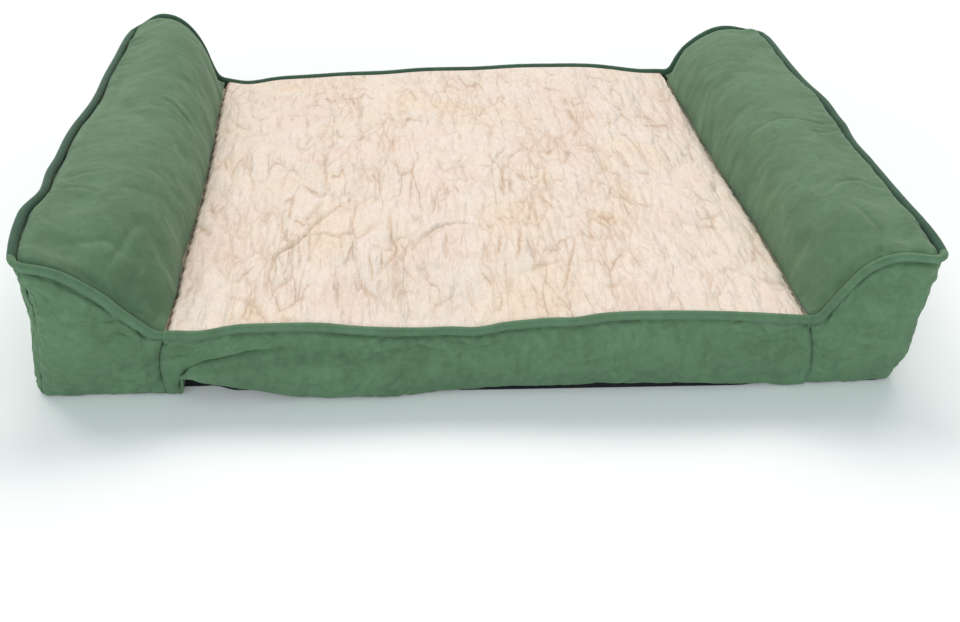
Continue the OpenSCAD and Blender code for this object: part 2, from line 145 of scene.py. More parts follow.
@dataclass(frozen=True)
class Noise:
    """Smooth random fields that are the same on every run.

    Attributes:
        seed: Picks one field out of many.
        PRIMES: The large primes that scatter its values.
        HIGHEST: The highest whole number that a value is made from.
    """

    seed: int
    PRIMES: ClassVar[tuple[int, ...]] = (374761393, 668265263, 2246822519, 3266489917)
    HIGHEST: ClassVar[int] = 0xFFFFFFFF

    def chance(self, i: np.ndarray, j: np.ndarray, draw: int = 0) -> np.ndarray:
        """Even random values for whole-number places.

        Args:
            i: First place number.
            j: Second place number.
            draw: Which of several independent values.

        Returns:
            Values from 0 to 1.
        """
        for_i, for_j, first, second = (np.uint64(prime) for prime in self.PRIMES)
        wrap = np.uint64(self.HIGHEST)
        bits = i.astype(np.int64).astype(np.uint64) * for_i + j.astype(np.int64).astype(np.uint64) * for_j
        bits = (bits + np.uint64(self.seed) * first + np.uint64(draw) * second) & wrap
        for shift, prime in ((15, first), (13, second)):
            bits = ((bits ^ (bits >> np.uint64(shift))) * prime) & wrap
        bits = bits ^ (bits >> np.uint64(16))
        return bits.astype(np.float64) / float(self.HIGHEST)

    def smooth(self, x: np.ndarray, y: np.ndarray) -> np.ndarray:
        """Gradient noise with lattice steps of one unit.

        Args:
            x: First coordinate.
            y: Second coordinate.

        Returns:
            Values from about -1 to 1.
        """
        x, y = np.broadcast_arrays(x, y)
        i, j = np.floor(x), np.floor(y)
        across, along = x - i, y - j

        u, v = (step**3 * (step * (step * 6.0 - 15.0) + 10.0) for step in (across, along))
        pulls = []
        for dj in (0, 1):
            for di in (0, 1):
                turn = 2.0 * math.pi * self.chance(i + di, j + dj)
                pulls.append(np.cos(turn) * (across - di) + np.sin(turn) * (along - dj))
        return 1.5 * mix(mix(pulls[0], pulls[1], u), mix(pulls[2], pulls[3], u), v)

    def layered(self, x: np.ndarray, y: np.ndarray, layers: int = 3) -> np.ndarray:
        """Noise with finer noise on top, each layer half as large.

        Args:
            x: First coordinate, in steps of the coarsest layer.
            y: Second coordinate.
            layers: How many layers.

        Returns:
            Values from about -1 to 1.
        """
        total = 0.0
        for k in range(layers):
            offset = 17.3 * k
            total += self.smooth(x * 2**k + offset, y * 2**k - offset) / 2**k
        return total / (2.0 - 2.0 ** (1 - layers))

    def wall(self, x: np.ndarray, y: np.ndarray) -> np.ndarray:
        """Distance to the nearest wall between scattered cells of about one unit.

        Args:
            x: First coordinate.
            y: Second coordinate.

        Returns:
            The distance, 0 on a wall.
        """
        i, j = np.floor(x), np.floor(y)
        spots = []
        for di in (-1, 0, 1):
            for dj in (-1, 0, 1):
                px = i + di + 0.1 + 0.8 * self.chance(i + di, j + dj, 1)
                py = j + dj + 0.1 + 0.8 * self.chance(i + di, j + dj, 2)
                spots.append((px - x, py - y))
        far = np.stack([a * a + b * b for a, b in spots])
        own = far.argmin(axis=0)
        across = np.stack([a for a, _ in spots])
        along = np.stack([b for _, b in spots])
        near_x = np.take_along_axis(across, own[None], 0)[0]
        near_y = np.take_along_axis(along, own[None], 0)[0]
        best = np.full(x.shape, 9.0)
        for a, b in spots:
            gap_x, gap_y = a - near_x, b - near_y
            length = np.hypot(gap_x, gap_y)
            other = length > 1e-9
            length = np.where(other, length, 1.0)
            middle = (a + near_x) / 2 * gap_x / length + (b + near_y) / 2 * gap_y / length
            best = np.where(other, np.minimum(best, middle), best)
        return best


@dataclass(frozen=True)
class Curve:
    """A plane curve of arcs and straight pieces, walked from its start.

    Attributes:
        x: Where it starts.
        z: The height where it starts.
        heading: Its first direction, in degrees above level.
        pieces: The length of each piece, and the degrees that it turns left.
    """

    x: float
    z: float
    heading: float
    pieces: tuple[tuple[float, float], ...]

    @property
    def length(self) -> float:
        """The whole length."""
        return sum(length for length, _ in self.pieces)

    def at(self, share: np.ndarray, out: float = 0.0) -> tuple[np.ndarray, np.ndarray, np.ndarray]:
        """Find points on the curve.

        Args:
            share: Shares of its length.
            out: How far to its outer side.

        Returns:
            Their X, their Z, and the curve's heading there in radians.
        """
        left = np.asarray(share, float) * self.length
        x = np.full(left.shape, self.x)
        z = np.full(left.shape, self.z)
        heading = np.full(left.shape, math.radians(self.heading))
        for number, (length, turn) in enumerate(self.pieces):
            last = number == len(self.pieces) - 1
            step = np.maximum(left, 0.0) if last else np.clip(left, 0.0, length)
            bend = math.radians(turn) / length
            new = heading + bend * step
            if abs(bend) < 1e-9:
                x, z = x + step * np.cos(heading), z + step * np.sin(heading)
            else:
                x = x + (np.sin(new) - np.sin(heading)) / bend
                z = z - (np.cos(new) - np.cos(heading)) / bend
            heading, left = new, left - length
        return x - out * np.sin(heading), z + out * np.cos(heading), heading


@dataclass(frozen=True)
class Tug:
    """A place where the stuffing or a hand has moved the cover.

    Attributes:
        place: Which part of the cover it is.
        at: The middle of it.
        move: How far the cover is moved there.
        reach: How far it is felt along X, Y and Z.
    """

    place: str
    at: tuple[float, float, float]
    move: tuple[float, float, float]
    reach: tuple[float, float, float]

    def shift(self, points: Grid) -> Grid:
        """Find how far it moves each point.

        Args:
            points: The points at rest.

        Returns:
            The moves.
        """
        away = (points - np.array(self.at)) / np.array(self.reach)
        return np.exp(-(away**2).sum(axis=-1))[..., None] * np.array(self.move)


@dataclass(frozen=True)
class Crease:
    """A crease pressed into the cover, with a soft roll beside it.

    Attributes:
        path: Places that it runs through, each as two coordinates.
        depth: How deep it is.
        width: Half the width of its hollow.
        lip: Height of the roll on its left, as a share of the depth.
    """

    path: tuple[tuple[float, float], ...]
    depth: float
    width: float = 0.003
    lip: float = 0.6

    def lift(self, across: np.ndarray, along: np.ndarray) -> np.ndarray:
        """Find how far it lifts the cover.

        Args:
            across: First coordinate of each point.
            along: Second coordinate.

        Returns:
            The lifts, below 0 in the hollow.
        """
        nearest = np.full(across.shape, np.inf)
        signed, passed = np.zeros(across.shape), np.zeros(across.shape)
        total = 0.0
        for (from_a, from_b), (to_a, to_b) in zip(self.path, self.path[1:]):
            run_a, run_b = to_a - from_a, to_b - from_b
            length = math.hypot(run_a, run_b)
            share = ((across - from_a) * run_a + (along - from_b) * run_b) / length**2
            share = np.clip(share, 0.0, 1.0)
            away = np.hypot(across - from_a - share * run_a, along - from_b - share * run_b)
            side = np.sign((along - from_b) * run_a - (across - from_a) * run_b)
            closer = away < nearest
            nearest = np.where(closer, away, nearest)
            signed = np.where(closer, side * away, signed)
            passed = np.where(closer, total + share * length, passed)
            total += length
        fade = np.sqrt(np.sin(math.pi * np.clip(passed / total, 0.0, 1.0)).clip(0.0))
        roll = self.lip * hump(signed - 2.2 * self.width, 1.6 * self.width)
        return self.depth * fade * (roll - hump(signed, self.width))


@dataclass(frozen=True)
class Gathers:
    """Small folds that run away from a seam.

    Attributes:
        height: Their height.
        step: Distance between them along the seam.
        length: Distance over which they change, away from the seam.
        start: How far from the seam they are highest.
        reach: How far they are felt from there.
    """

    height: float
    step: float
    length: float
    start: float
    reach: float

    def lift(self, seed: int, along: np.ndarray, away: np.ndarray) -> np.ndarray:
        """Find how far they lift the cover.

        Args:
            seed: Picks them.
            along: Places along the seam.
            away: Distances from it.

        Returns:
            The lifts.
        """
        folds = Noise(seed).layered(along / self.step, away / self.length, 2)
        return self.height * folds * hump(away - self.start, self.reach)


@dataclass(frozen=True)
class Hang:
    """How the loose front panel hangs at one place.

    Attributes:
        x: The place.
        fold: Height of the crease above the pouch that it forms.
        pouch: How far the pouch stands out.
        out: How far its hem stands out.
        lift: How far its hem is lifted.
    """

    x: float
    fold: float
    pouch: float
    out: float
    lift: float


def softened(values: np.ndarray, times: int) -> np.ndarray:
    """Average each point of a grid with its neighbours, and leave its edge alone.

    Args:
        values: The grid.
        times: How often.

    Returns:
        The softer grid.
    """
    values = values.copy()
    for _ in range(times):
        beside = values[:-2, 1:-1] + values[2:, 1:-1] + values[1:-1, :-2] + values[1:-1, 2:]
        values[1:-1, 1:-1] = 0.4 * values[1:-1, 1:-1] + 0.15 * beside
    return values


@dataclass(frozen=True)
class BedForm:
    """The sewn shape that every piece of the bed follows, modelled for its front right quarter.

    Attributes:
        half_base: Half the width along the floor.
        half_top: Half the width between the side welts.
        half_d: Half the depth.
        corner_r: Radius of the upright corners in plan.
        cloth_t: Thickness of the suede.
        swell_out: How far the upright panels swell out.
        welt_r: Radius of the welt.
        gap: Space between sewn pieces.
        seam_x: X of the seam between the quilt and a bolster.
        seam_h: Height of the welt's centre at the front seam.
        front_rise: How much higher the front welt is in its middle.
        back_rise: The same for the back welt.
        panel_z: Height of the panels' lower edge.
        crest_rise: Height of the bolster's crest above the seam.
        side_rise: Height of the side welt above the seam, half way along.
        end_rise: Height of the end curve above the seam.
        end_fall: How steeply the end curve falls at its outer end, in radians.
        tuck: How far the bolster's middle starts below the seam.
        tugs: Where the cover has been pulled about.
    """

    half_base: float = 0.457
    half_top: float = 0.469
    half_d: float = 0.343
    corner_r: float = 0.014
    cloth_t: float = 0.0015
    swell_out: float = 0.008
    welt_r: float = 0.0045
    gap: float = 0.0003
    seam_x: float = 0.335
    seam_h: float = 0.0861
    front_rise: float = 0.005
    back_rise: float = 0.016
    panel_z: float = 0.0018
    crest_rise: float = 0.092
    side_rise: float = 0.079
    end_rise: float = 0.074
    end_fall: float = math.radians(8)
    tuck: float = 0.002
    tugs: tuple[Tug, ...] = ()

    @property
    def flat_y(self) -> float:
        """Half the straight stretch of each side."""
        return self.half_d - self.corner_r

    @property
    def edge(self) -> float:
        """Distance from the welt's centre to the cloth sewn beside it."""
        return self.welt_r + self.gap

    @property
    def bolster_x(self) -> float:
        """X of the middle of the bolster cloth at its inner seam."""
        return self.seam_x + self.cloth_t / 2

    @property
    def cloth_x(self) -> float:
        """X of the bolster cloth's outer edge."""
        return self.half_top - self.edge - self.cloth_t / 4

    @property
    def end_curve(self) -> Curve:
        """The welt's S-shaped way up the end of a bolster."""
        fillet, crown, slope, fall = 0.018, 0.058, math.radians(54), self.end_fall
        rise = self.end_rise - (fillet + crown) * (1 - math.cos(slope))
        line = rise / math.sin(slope)
        reach = fillet * math.sin(slope) + line * math.cos(slope)
        reach += crown * (math.sin(slope) + math.sin(fall))
        rest = (self.half_top - self.corner_r - self.bolster_x - reach) / math.cos(fall)
        turn, over = math.degrees(slope), math.degrees(slope + fall)
        pieces = (
            (fillet * slope, turn),
            (line, 0.0),
            (crown * (slope + fall), -over),
            (rest, 0.0),
        )
        return Curve(self.bolster_x, self.seam_h, 0.0, pieces)

    @property
    def corner_z(self) -> float:
        """Height of the welt's centre at the outer corners."""
        return float(self.end_curve.at(np.array(1.0))[1])

    @property
    def middle_curve(self) -> Curve:
        """The bolster's section half way along."""
        lean = math.radians(98)
        crest_r = (self.crest_rise + self.tuck) / (1 - math.cos(lean))
        run = self.cloth_x - self.bolster_x - crest_r * math.sin(lean)
        drop = self.crest_rise - self.side_rise
        outer_r = (run * run + drop * drop) / (2 * drop)
        turn = math.asin(run / outer_r)
        pieces = (
            (crest_r * lean, -math.degrees(lean)),
            (outer_r * turn, -math.degrees(turn)),
        )
        return Curve(self.bolster_x, self.seam_h - self.tuck, math.degrees(lean), pieces)

    def swell(self, y: np.ndarray) -> np.ndarray:
        """How full the bolster is at y: 0 at its ends, 1 along its middle.

        Args:
            y: Places along the bed.

        Returns:
            Shares from 0 to 1.
        """
        return np.clip(1.0 - (np.abs(y) / self.flat_y) ** 8, 0.0, 1.0)

    def seam_z(self, x: np.ndarray, y: np.ndarray) -> np.ndarray:
        """Height of the front and back welts, and of the quilt's edge between them.

        Args:
            x: Places across the bed.
            y: Places along it.

        Returns:
            The heights.
        """
        arch = np.clip(1.0 - (x / self.bolster_x) ** 2, 0.0, 1.0)
        share = np.clip((y / self.half_d + 1.0) / 2.0, 0.0, 1.0)
        return self.seam_h + mix(self.front_rise, self.back_rise, share) * arch

    def side_z(self, y: np.ndarray) -> np.ndarray:
        """Height of the side welts.

        Args:
            y: Places along the bed.

        Returns:
            The heights.
        """
        return mix(self.corner_z, self.seam_h + self.side_rise, self.swell(y))

    def bolster(self, share: np.ndarray, y: np.ndarray, out: float = 0.0) -> Grid:
        """Find points of a bolster's surface, on the right arm.

        Args:
            share: Shares of its section, from the inner seam to the side welt.
            y: Places along the bed.
            out: How far outside the middle of the cloth.

        Returns:
            The points.
        """
        share, y = np.broadcast_arrays(share, y)
        curve = self.end_curve
        fall = (self.cloth_x - self.half_top + self.corner_r) / math.cos(self.end_fall)
        curve = Curve(curve.x, curve.z, curve.heading, (*curve.pieces, (fall, 0.0)))
        end_x, end_z, _ = curve.at(share, out)
        middle_x, middle_z, _ = self.middle_curve.at(share, out)
        full = self.swell(y)
        x, z = mix(end_x, middle_x, full), mix(end_z, middle_z, full)
        past_x, past_y = x - self.half_top + self.corner_r, np.abs(y) - self.flat_y
        corner = (past_x > 0) & (past_y > 0)
        length = np.where(corner, np.hypot(past_x, past_y), 1.0)
        ease = np.where(corner, np.maximum(past_x, past_y) / length, 1.0)
        x = np.where(corner, self.half_top - self.corner_r + past_x * ease, x)
        y = np.where(corner, np.sign(y) * (self.flat_y + past_y * ease), y)
        return stacked(x, y, z)

    def settle(self, points: Grid) -> Grid:
        """Move sewn points as the stuffing and hands have moved the real cover.

        Args:
            points: The points as sewn.

        Returns:
            The points as they lie.
        """
        return points + sum(tug.shift(points) for tug in self.tugs)


def mirrored(points: Grid, side: Side, end: End = End.FRONT) -> Grid:
    """Move front right points to another quarter of the bed.

    Args:
        points: Points of the front right quarter.
        side: The arm that they belong to.
        end: The end that they belong to.

    Returns:
        The moved points.
    """
    return points * np.array([side.value, -end.value, 1.0])


def normals_of(points: Grid) -> Grid:
    """Unit normals of a grid, along its columns crossed with its rows.

    Args:
        points: The grid.

    Returns:
        A normal for each point.
    """
    normal = np.cross(np.gradient(points, axis=0), np.gradient(points, axis=1))
    return normal / np.maximum(np.linalg.norm(normal, axis=-1, keepdims=True), 1e-12)


def outward(points: Grid, hint: tuple[float, float, float]) -> Grid:
    """Turn a grid so that its normals point to its outer side.

    Args:
        points: The grid.
        hint: A direction to the outer side.

    Returns:
        The grid, with its columns reversed if need be.
    """
    total = (normals_of(points) * np.array(hint)).sum()
    return points if total > 0 else points[::-1]


def doubled(points: Grid) -> Grid:
    """Add a point between each two of a grid, on a smooth curve through them.

    Args:
        points: The grid.

    Returns:
        A grid with twice as many cells each way.
    """
    for axis in (0, 1):
        points = np.moveaxis(points, axis, 0)
        first, last = 2 * points[:1] - points[1:2], 2 * points[-1:] - points[-2:-1]
        wide = np.concatenate([first, points, last])
        between = (9 * (wide[1:-2] + wide[2:-1]) - wide[:-3] - wide[3:]) / 16
        finer = np.empty((2 * len(points) - 1, *points.shape[1:]))
        finer[::2], finer[1::2] = points, between
        points = np.moveaxis(finer, 0, axis)
    return points


def rim_of(columns: int, rows: int) -> np.ndarray:
    """Indices round the edge of a grid.

    Args:
        columns: Its columns.
        rows: Its rows.

    Returns:
        The indices in order.
    """
    index = np.arange(columns * rows).reshape(columns, rows)
    return np.concatenate([index[0, :-1], index[:-1, -1], index[-1, :0:-1], index[:0:-1, 0]])


def new_piece(name: str, points: np.ndarray, faces: np.ndarray, flat_faces: int = 0) -> bpy.types.Object:
    """Make a mesh object.

    Args:
        name: The piece's name.
        points: Its points.
        faces: Its four-cornered faces.
        flat_faces: How many of the last faces are shaded flat.

    Returns:
        The object.
    """
    mesh = bpy.data.meshes.new(name)
    mesh.vertices.add(len(points))
    mesh.vertices.foreach_set("co", np.ascontiguousarray(points, dtype=np.float32).ravel())
    mesh.loops.add(faces.size)
    mesh.loops.foreach_set("vertex_index", faces.astype(np.int32).ravel())
    mesh.polygons.add(len(faces))
    mesh.polygons.foreach_set("loop_start", np.arange(len(faces), dtype=np.int32) * 4)
    smooth = np.ones(len(faces), dtype=bool)
    if flat_faces:
        smooth[-flat_faces:] = False
    mesh.polygons.foreach_set("use_smooth", smooth)
    mesh.update(calc_edges=True)
    mesh.validate()
    piece = bpy.data.objects.new(name, mesh)
    bpy.context.scene.collection.objects.link(piece)
    return piece


def grid_faces(columns: int, rows: int, start: int = 0, flip: bool = False) -> np.ndarray:
    """Four-cornered faces of a grid.

    Args:
        columns: Its columns.
        rows: Its rows.
        start: The index of its first point.
        flip: Whether the faces look the other way.

    Returns:
        The faces.
    """
    index = start + np.arange(columns * rows).reshape(columns, rows)
    corners = [index[:-1, :-1], index[1:, :-1], index[1:, 1:], index[:-1, 1:]]
    if flip:
        corners.reverse()
    return np.stack([c.ravel() for c in corners], axis=-1)


def ring_faces(index: np.ndarray) -> np.ndarray:
    """Four-cornered faces between rings of points.

    Args:
        index: The indices of each ring's points.

    Returns:
        The faces.
    """
    beside = np.roll(index, -1, axis=1)
    return np.stack([index[:-1], beside[:-1], beside[1:], index[1:]], axis=-1).reshape(-1, 4)


def fan_faces(centre: int, ring: np.ndarray) -> np.ndarray:
    """Four-cornered faces between a point and a ring round it.

    Args:
        centre: The index of the point.
        ring: The indices of the ring's points, an even number.

    Returns:
        The faces.
    """
    starts = ring[::2]
    return np.stack([np.full(len(starts), centre), starts, ring[1::2], np.roll(starts, -1)], axis=-1)


def face_out(piece: bpy.types.Object) -> None:
    """Make a closed piece's faces look outwards.

    Args:
        piece: The piece.
    """
    mesh = piece.data
    mesh.calc_loop_triangles()
    points = np.array([v.co for v in mesh.vertices])
    corners = points[np.array([t.vertices for t in mesh.loop_triangles])]
    volume = np.einsum("ij,ij->i", corners[:, 0], np.cross(corners[:, 1], corners[:, 2])).sum()
    if volume < 0:
        mesh.flip_normals()


def shell(name: str, outer: Grid, inner: Grid) -> bpy.types.Object:
    """Close the space between two grids.

    Args:
        name: The piece's name.
        outer: The outer grid, with its normals outward.
        inner: The inner grid, with the same columns and rows.

    Returns:
        The closed piece.
    """
    columns, rows = outer.shape[:2]
    count = columns * rows
    rim = rim_of(columns, rows)
    following = np.roll(rim, -1)
    wall = np.stack([rim, following, following + count, rim + count], axis=-1)
    points = np.concatenate([outer.reshape(-1, 3), inner.reshape(-1, 3)])
    faces = np.concatenate([
        grid_faces(columns, rows),
        grid_faces(columns, rows, count, flip=True),
        wall,
    ])
    return new_piece(name, points, faces, len(wall))


def cloth_shell(name: str, middle: Grid, thickness: float) -> bpy.types.Object:
    """Give a sheet its thickness.

    Args:
        name: The piece's name.
        middle: The middle of the cloth, with its normals outward.
        thickness: The cloth's thickness.

    Returns:
        The closed piece.
    """
    half = normals_of(middle) * (thickness / 2)
    return shell(name, middle + half, middle - half)


@dataclass
class Pattern:
    """A piece of cloth that waits to be settled.

    Attributes:
        grid: Where it is sewn in, as it is cut.
        spare: The share by which it is cut larger than its place.
        pressure: How hard its stuffing pushes.
        out_cap: How far it may swell out.
        in_cap: How far it may sink in.
        ironed: How often its fine buckles are smoothed.
        settled: Where it comes to lie.
    """

    grid: Grid
    spare: float
    pressure: float
    out_cap: float
    in_cap: float
    ironed: int = 0
    settled: Grid | None = None


@dataclass
class SewingRoom:
    """Settles every pattern in one run of cloth simulation.

    Attributes:
        frames: How many steps the simulation takes.
        slip_cap: How far a point may slip along the cloth.
        patterns: The patterns by name.
    """

    frames: int = 16
    slip_cap: float = 0.004
    patterns: dict[str, Pattern] = field(default_factory=dict)

    def _pin(self, name: str, pattern: Pattern) -> bpy.types.Object:
        """Make the sheet that is simulated, held along its edges.

        Args:
            name: Its name.
            pattern: What it is cut from.

        Returns:
            The sheet.
        """
        columns, rows = pattern.grid.shape[:2]
        sheet = new_piece("cut_" + name, pattern.grid.reshape(-1, 3), grid_faces(columns, rows))
        sewn = sheet.vertex_groups.new(name="sewn")
        sewn.add([int(k) for k in rim_of(columns, rows)], 1.0, "REPLACE")
        cloth = sheet.modifiers.new("Cloth", "CLOTH")
        cloth.point_cache.frame_start = 1
        cloth.point_cache.frame_end = self.frames
        settings = cloth.settings
        settings.quality = 5
        settings.mass = 0.25
        settings.tension_stiffness = 20.0
        settings.compression_stiffness = 20.0
        settings.shear_stiffness = 8.0
        settings.bending_stiffness = 0.6
        settings.vertex_group_mass = "sewn"
        settings.use_pressure = True
        settings.uniform_pressure_force = pattern.pressure
        settings.shrink_min = -pattern.spare
        settings.effector_weights.gravity = 0.0
        cloth.collision_settings.use_collision = False
        return sheet

    def settle(self) -> None:
        """Run the simulation, and keep what each pattern comes to."""
        sheets = {name: self._pin(name, pattern) for name, pattern in self.patterns.items()}
        scene = bpy.context.scene
        for number in range(1, self.frames + 1):
            scene.frame_set(number)
        graph = bpy.context.evaluated_depsgraph_get()
        for name, sheet in sheets.items():
            pattern = self.patterns[name]
            mesh = sheet.evaluated_get(graph).to_mesh()
            found = np.empty(len(mesh.vertices) * 3, np.float32)
            mesh.vertices.foreach_get("co", found)
            moved = softened(found.reshape(pattern.grid.shape).astype(float) - pattern.grid, pattern.ironed)
            normal = normals_of(pattern.grid)
            lift = (moved * normal).sum(axis=-1, keepdims=True)
            slip = np.clip(moved - lift * normal, -self.slip_cap, self.slip_cap)
            cap = np.where(lift > 0, pattern.out_cap, pattern.in_cap)
            pattern.settled = pattern.grid + slip + normal * cap * np.tanh(lift / cap)
            LOG.info("settled %s: lift %.1f to %.1f mm", name, 1000 * lift.min(), 1000 * lift.max())
            data = sheet.data
            bpy.data.objects.remove(sheet)
            bpy.data.meshes.remove(data)
        scene.frame_set(1)


def shade(colour: tuple[float, float, float], factor: float) -> Colour:
    """Make a colour lighter or darker.

    Args:
        colour: The linear colour.
        factor: What it is multiplied by.

    Returns:
        The new colour with an alpha of 1.
    """
    return (*(min(1.0, c * factor) for c in colour), 1.0)


@dataclass
class Nodes:
    """Short ways to build a node tree.

    Attributes:
        tree: The tree.
    """

    tree: bpy.types.NodeTree

    def feed(self, node: bpy.types.Node, values: dict[str | int, object]) -> None:
        """Fill a node's inputs.

        Args:
            node: The node.
            values: A value or another node's output for each input, by its name or number.
        """
        for key, value in values.items():
            if isinstance(value, bpy.types.NodeSocket):
                self.tree.links.new(value, node.inputs[key])
            else:
                node.inputs[key].default_value = value

    def add(self, kind: str, **values: object) -> bpy.types.Node:
        """Add a node.

        Args:
            kind: Its Blender type.
            values: Attributes, or what an input is fed where the node has no such attribute.

        Returns:
            The node.
        """
        node = self.tree.nodes.new(kind)
        for key, value in values.items():
            if hasattr(node, key):
                setattr(node, key, value)
            else:
                self.feed(node, {key: value})
        return node

    def join(self, kind: str, *sources: object, **values: object) -> bpy.types.NodeSocket:
        """Add a node and feed its first inputs in their order.

        Args:
            kind: Its Blender type.
            sources: What they are fed.
            values: As for add.

        Returns:
            The node's first output.
        """
        node = self.add(kind, **values)
        self.feed(node, dict(enumerate(sources)))
        return node.outputs[0]

    def place(self) -> bpy.types.NodeSocket:
        """Find the piece's own coordinates.

        Returns:
            The coordinates, in metres.
        """
        return self.add("ShaderNodeTexCoord").outputs["Object"]

    def noise(self, scale: float, detail: float = 2.0, distortion: float = 0.0,
              stretch: tuple[float, float, float] | None = None) -> bpy.types.NodeSocket:
        """A noise texture in the piece's coordinates.

        Args:
            scale: Lattice steps a metre.
            detail: Finer layers.
            distortion: How much it is bent about.
            stretch: Scale along each axis.

        Returns:
            Its value.
        """
        place = self.place()
        if stretch:
            place = self.join("ShaderNodeMapping", place, Scale=stretch)
        return self.join("ShaderNodeTexNoise", Vector=place, Scale=scale, Detail=detail,
                         Distortion=distortion)

    def cracks(self, wide: float, long: float, bend: float, turns: float) -> bpy.types.NodeSocket:
        """The edges between long crooked patches.

        Args:
            wide: Width of a patch, in metres.
            long: Its length along Y.
            bend: How far its edges wander, as a share of a patch.
            turns: How often they turn in a patch.

        Returns:
            The distance from the nearest edge, in patches.
        """
        laid = self.join("ShaderNodeMapping", self.place(), Scale=(1 / wide, 1 / long, 1 / long))
        wander = self.add("ShaderNodeTexNoise", Vector=laid, Scale=turns, Detail=3.0).outputs["Color"]
        moved = self.join("ShaderNodeVectorMath", wander, (bend, bend, 0.0), laid, operation="MULTIPLY_ADD")
        return self.join("ShaderNodeTexVoronoi", feature="DISTANCE_TO_EDGE", Vector=moved, Scale=1.0)

    def ramp(self, source: bpy.types.NodeSocket, *stops: tuple[float, Colour]) -> bpy.types.NodeSocket:
        """Turn a value into a colour.

        Args:
            source: The value.
            stops: Places and their colours.

        Returns:
            The colour.
        """
        node = self.add("ShaderNodeValToRGB", Fac=source)
        elements = node.color_ramp.elements
        elements[0].position, elements[0].color = stops[0]
        elements[1].position, elements[1].color = stops[-1]
        for position, colour in stops[1:-1]:
            elements.new(position).color = colour
        return node.outputs["Color"]

    def greys(self, source: bpy.types.NodeSocket, *stops: tuple[float, float]) -> bpy.types.NodeSocket:
        """Turn a value into a grey.

        Args:
            source: The value.
            stops: Places and how light the grey is there.

        Returns:
            The grey.
        """
        return self.ramp(source, *((position, (tone, tone, tone, 1.0)) for position, tone in stops))

    def blend(self, share: float | bpy.types.NodeSocket, a: bpy.types.NodeSocket,
              b: bpy.types.NodeSocket | Colour, kind: str = "MULTIPLY") -> bpy.types.NodeSocket:
        """Mix two colours.

        Args:
            share: How much of the second.
            a: The first.
            b: The second, a colour or a socket.
            kind: Blender's name for the way of mixing.

        Returns:
            The mixed colour.
        """
        factor, first, second, result = 0, 6, 7, 2
        node = self.add("ShaderNodeMix", data_type="RGBA", blend_type=kind)
        self.feed(node, {factor: share, first: a, second: b})
        return node.outputs[result]

    def bump(self, height: bpy.types.NodeSocket, strength: float, distance: float,
             under: bpy.types.NodeSocket | None = None) -> bpy.types.NodeSocket:
        """Raise a surface by a value.

        Args:
            height: The value.
            strength: How strongly it shows.
            distance: The height of a value of 1, in metres.
            under: A normal that it is added to.

        Returns:
            The normal.
        """
        node = self.add("ShaderNodeBump", Strength=strength, Distance=distance, Height=height)
        if under:
            self.feed(node, {"Normal": under})
        return node.outputs["Normal"]


@dataclass(frozen=True)
class Finish:
    """A procedural finish.

    Attributes:
        name: The material's name.
        colour: Its linear base colour.
        slot: The record's material slot that it belongs to; not used.
    """

    name: str
    colour: tuple[float, float, float]
    slot: str

    def look(self, nodes: Nodes) -> dict[str, object]:
        """Build the nodes that make the look.

        Args:
            nodes: The material's nodes.

        Returns:
            What each input of its shader is fed, by its name.
        """
        raise NotImplementedError

    def shaded(self, nodes: Nodes, source: bpy.types.NodeSocket,
               *stops: tuple[float, float]) -> bpy.types.NodeSocket:
        """Turn a value into a lighter or darker tone of the finish's colour.

        Args:
            nodes: The material's nodes.
            source: The value.
            stops: Places and what the colour is multiplied by there.

        Returns:
            The tone.
        """
        return nodes.ramp(source, *((position, shade(self.colour, factor)) for position, factor in stops))

    def dress(self, piece: bpy.types.Object) -> None:
        """Put the finish on a piece, and make its material the first time.

        Args:
            piece: The piece.
        """
        material = bpy.data.materials.get(self.name)
        if material is None:
            material = bpy.data.materials.new(self.name)
            material.use_nodes = True
            material.diffuse_color = (*self.colour, 1.0)
            nodes = Nodes(material.node_tree)
            nodes.feed(material.node_tree.nodes["Principled BSDF"], self.look(nodes))
        piece.data.materials.clear()
        piece.data.materials.append(material)
        for polygon in piece.data.polygons:
            if polygon.material_index:
                polygon.material_index = 0


@dataclass(frozen=True)
class Suede(Finish):
    """Brushed faux suede, with a mottled nap and a soft sheen.

    Attributes:
        patchy: How strongly the nap is rubbed light and dark, 1 for freshly brushed.
    """

    patchy: float = 1.0

    def look(self, nodes: Nodes) -> dict[str, object]:
        """Build the suede.

        Args:
            nodes: The material's nodes.

        Returns:
            What each input of its shader is fed, by its name.
        """
        base = self.shaded(nodes, nodes.noise(22.0, 3.0, 0.6), (0.3, 0.89), (0.7, 1.1))
        dark, light = (tuple(1 + self.patchy * part for part in parts) + (1.0,)
                       for parts in ((-0.12, -0.105, -0.12), (0.085, 0.07, 0.085)))
        strokes = nodes.ramp(nodes.noise(75.0, 2.0, 1.2), (0.32, dark), (0.68, light))
        fibres = nodes.noise(1400.0, 1.0)
        specks = nodes.greys(fibres, (0.25, 0.86), (0.75, 1.1))
        soft = nodes.bump(nodes.noise(130.0, 3.0, 0.8), 0.35, 0.0012)
        return {
            "Base Color": nodes.blend(0.6, nodes.blend(0.75, base, strokes), specks),
            "Normal": nodes.bump(fibres, 0.5, 0.0003, soft),
            "Roughness": 0.92,
            "Specular IOR Level": 0.18,
            "Sheen Weight": 0.22,
            "Sheen Roughness": 0.45,
            "Sheen Tint": (0.75, 0.88, 0.75, 1.0),
        }


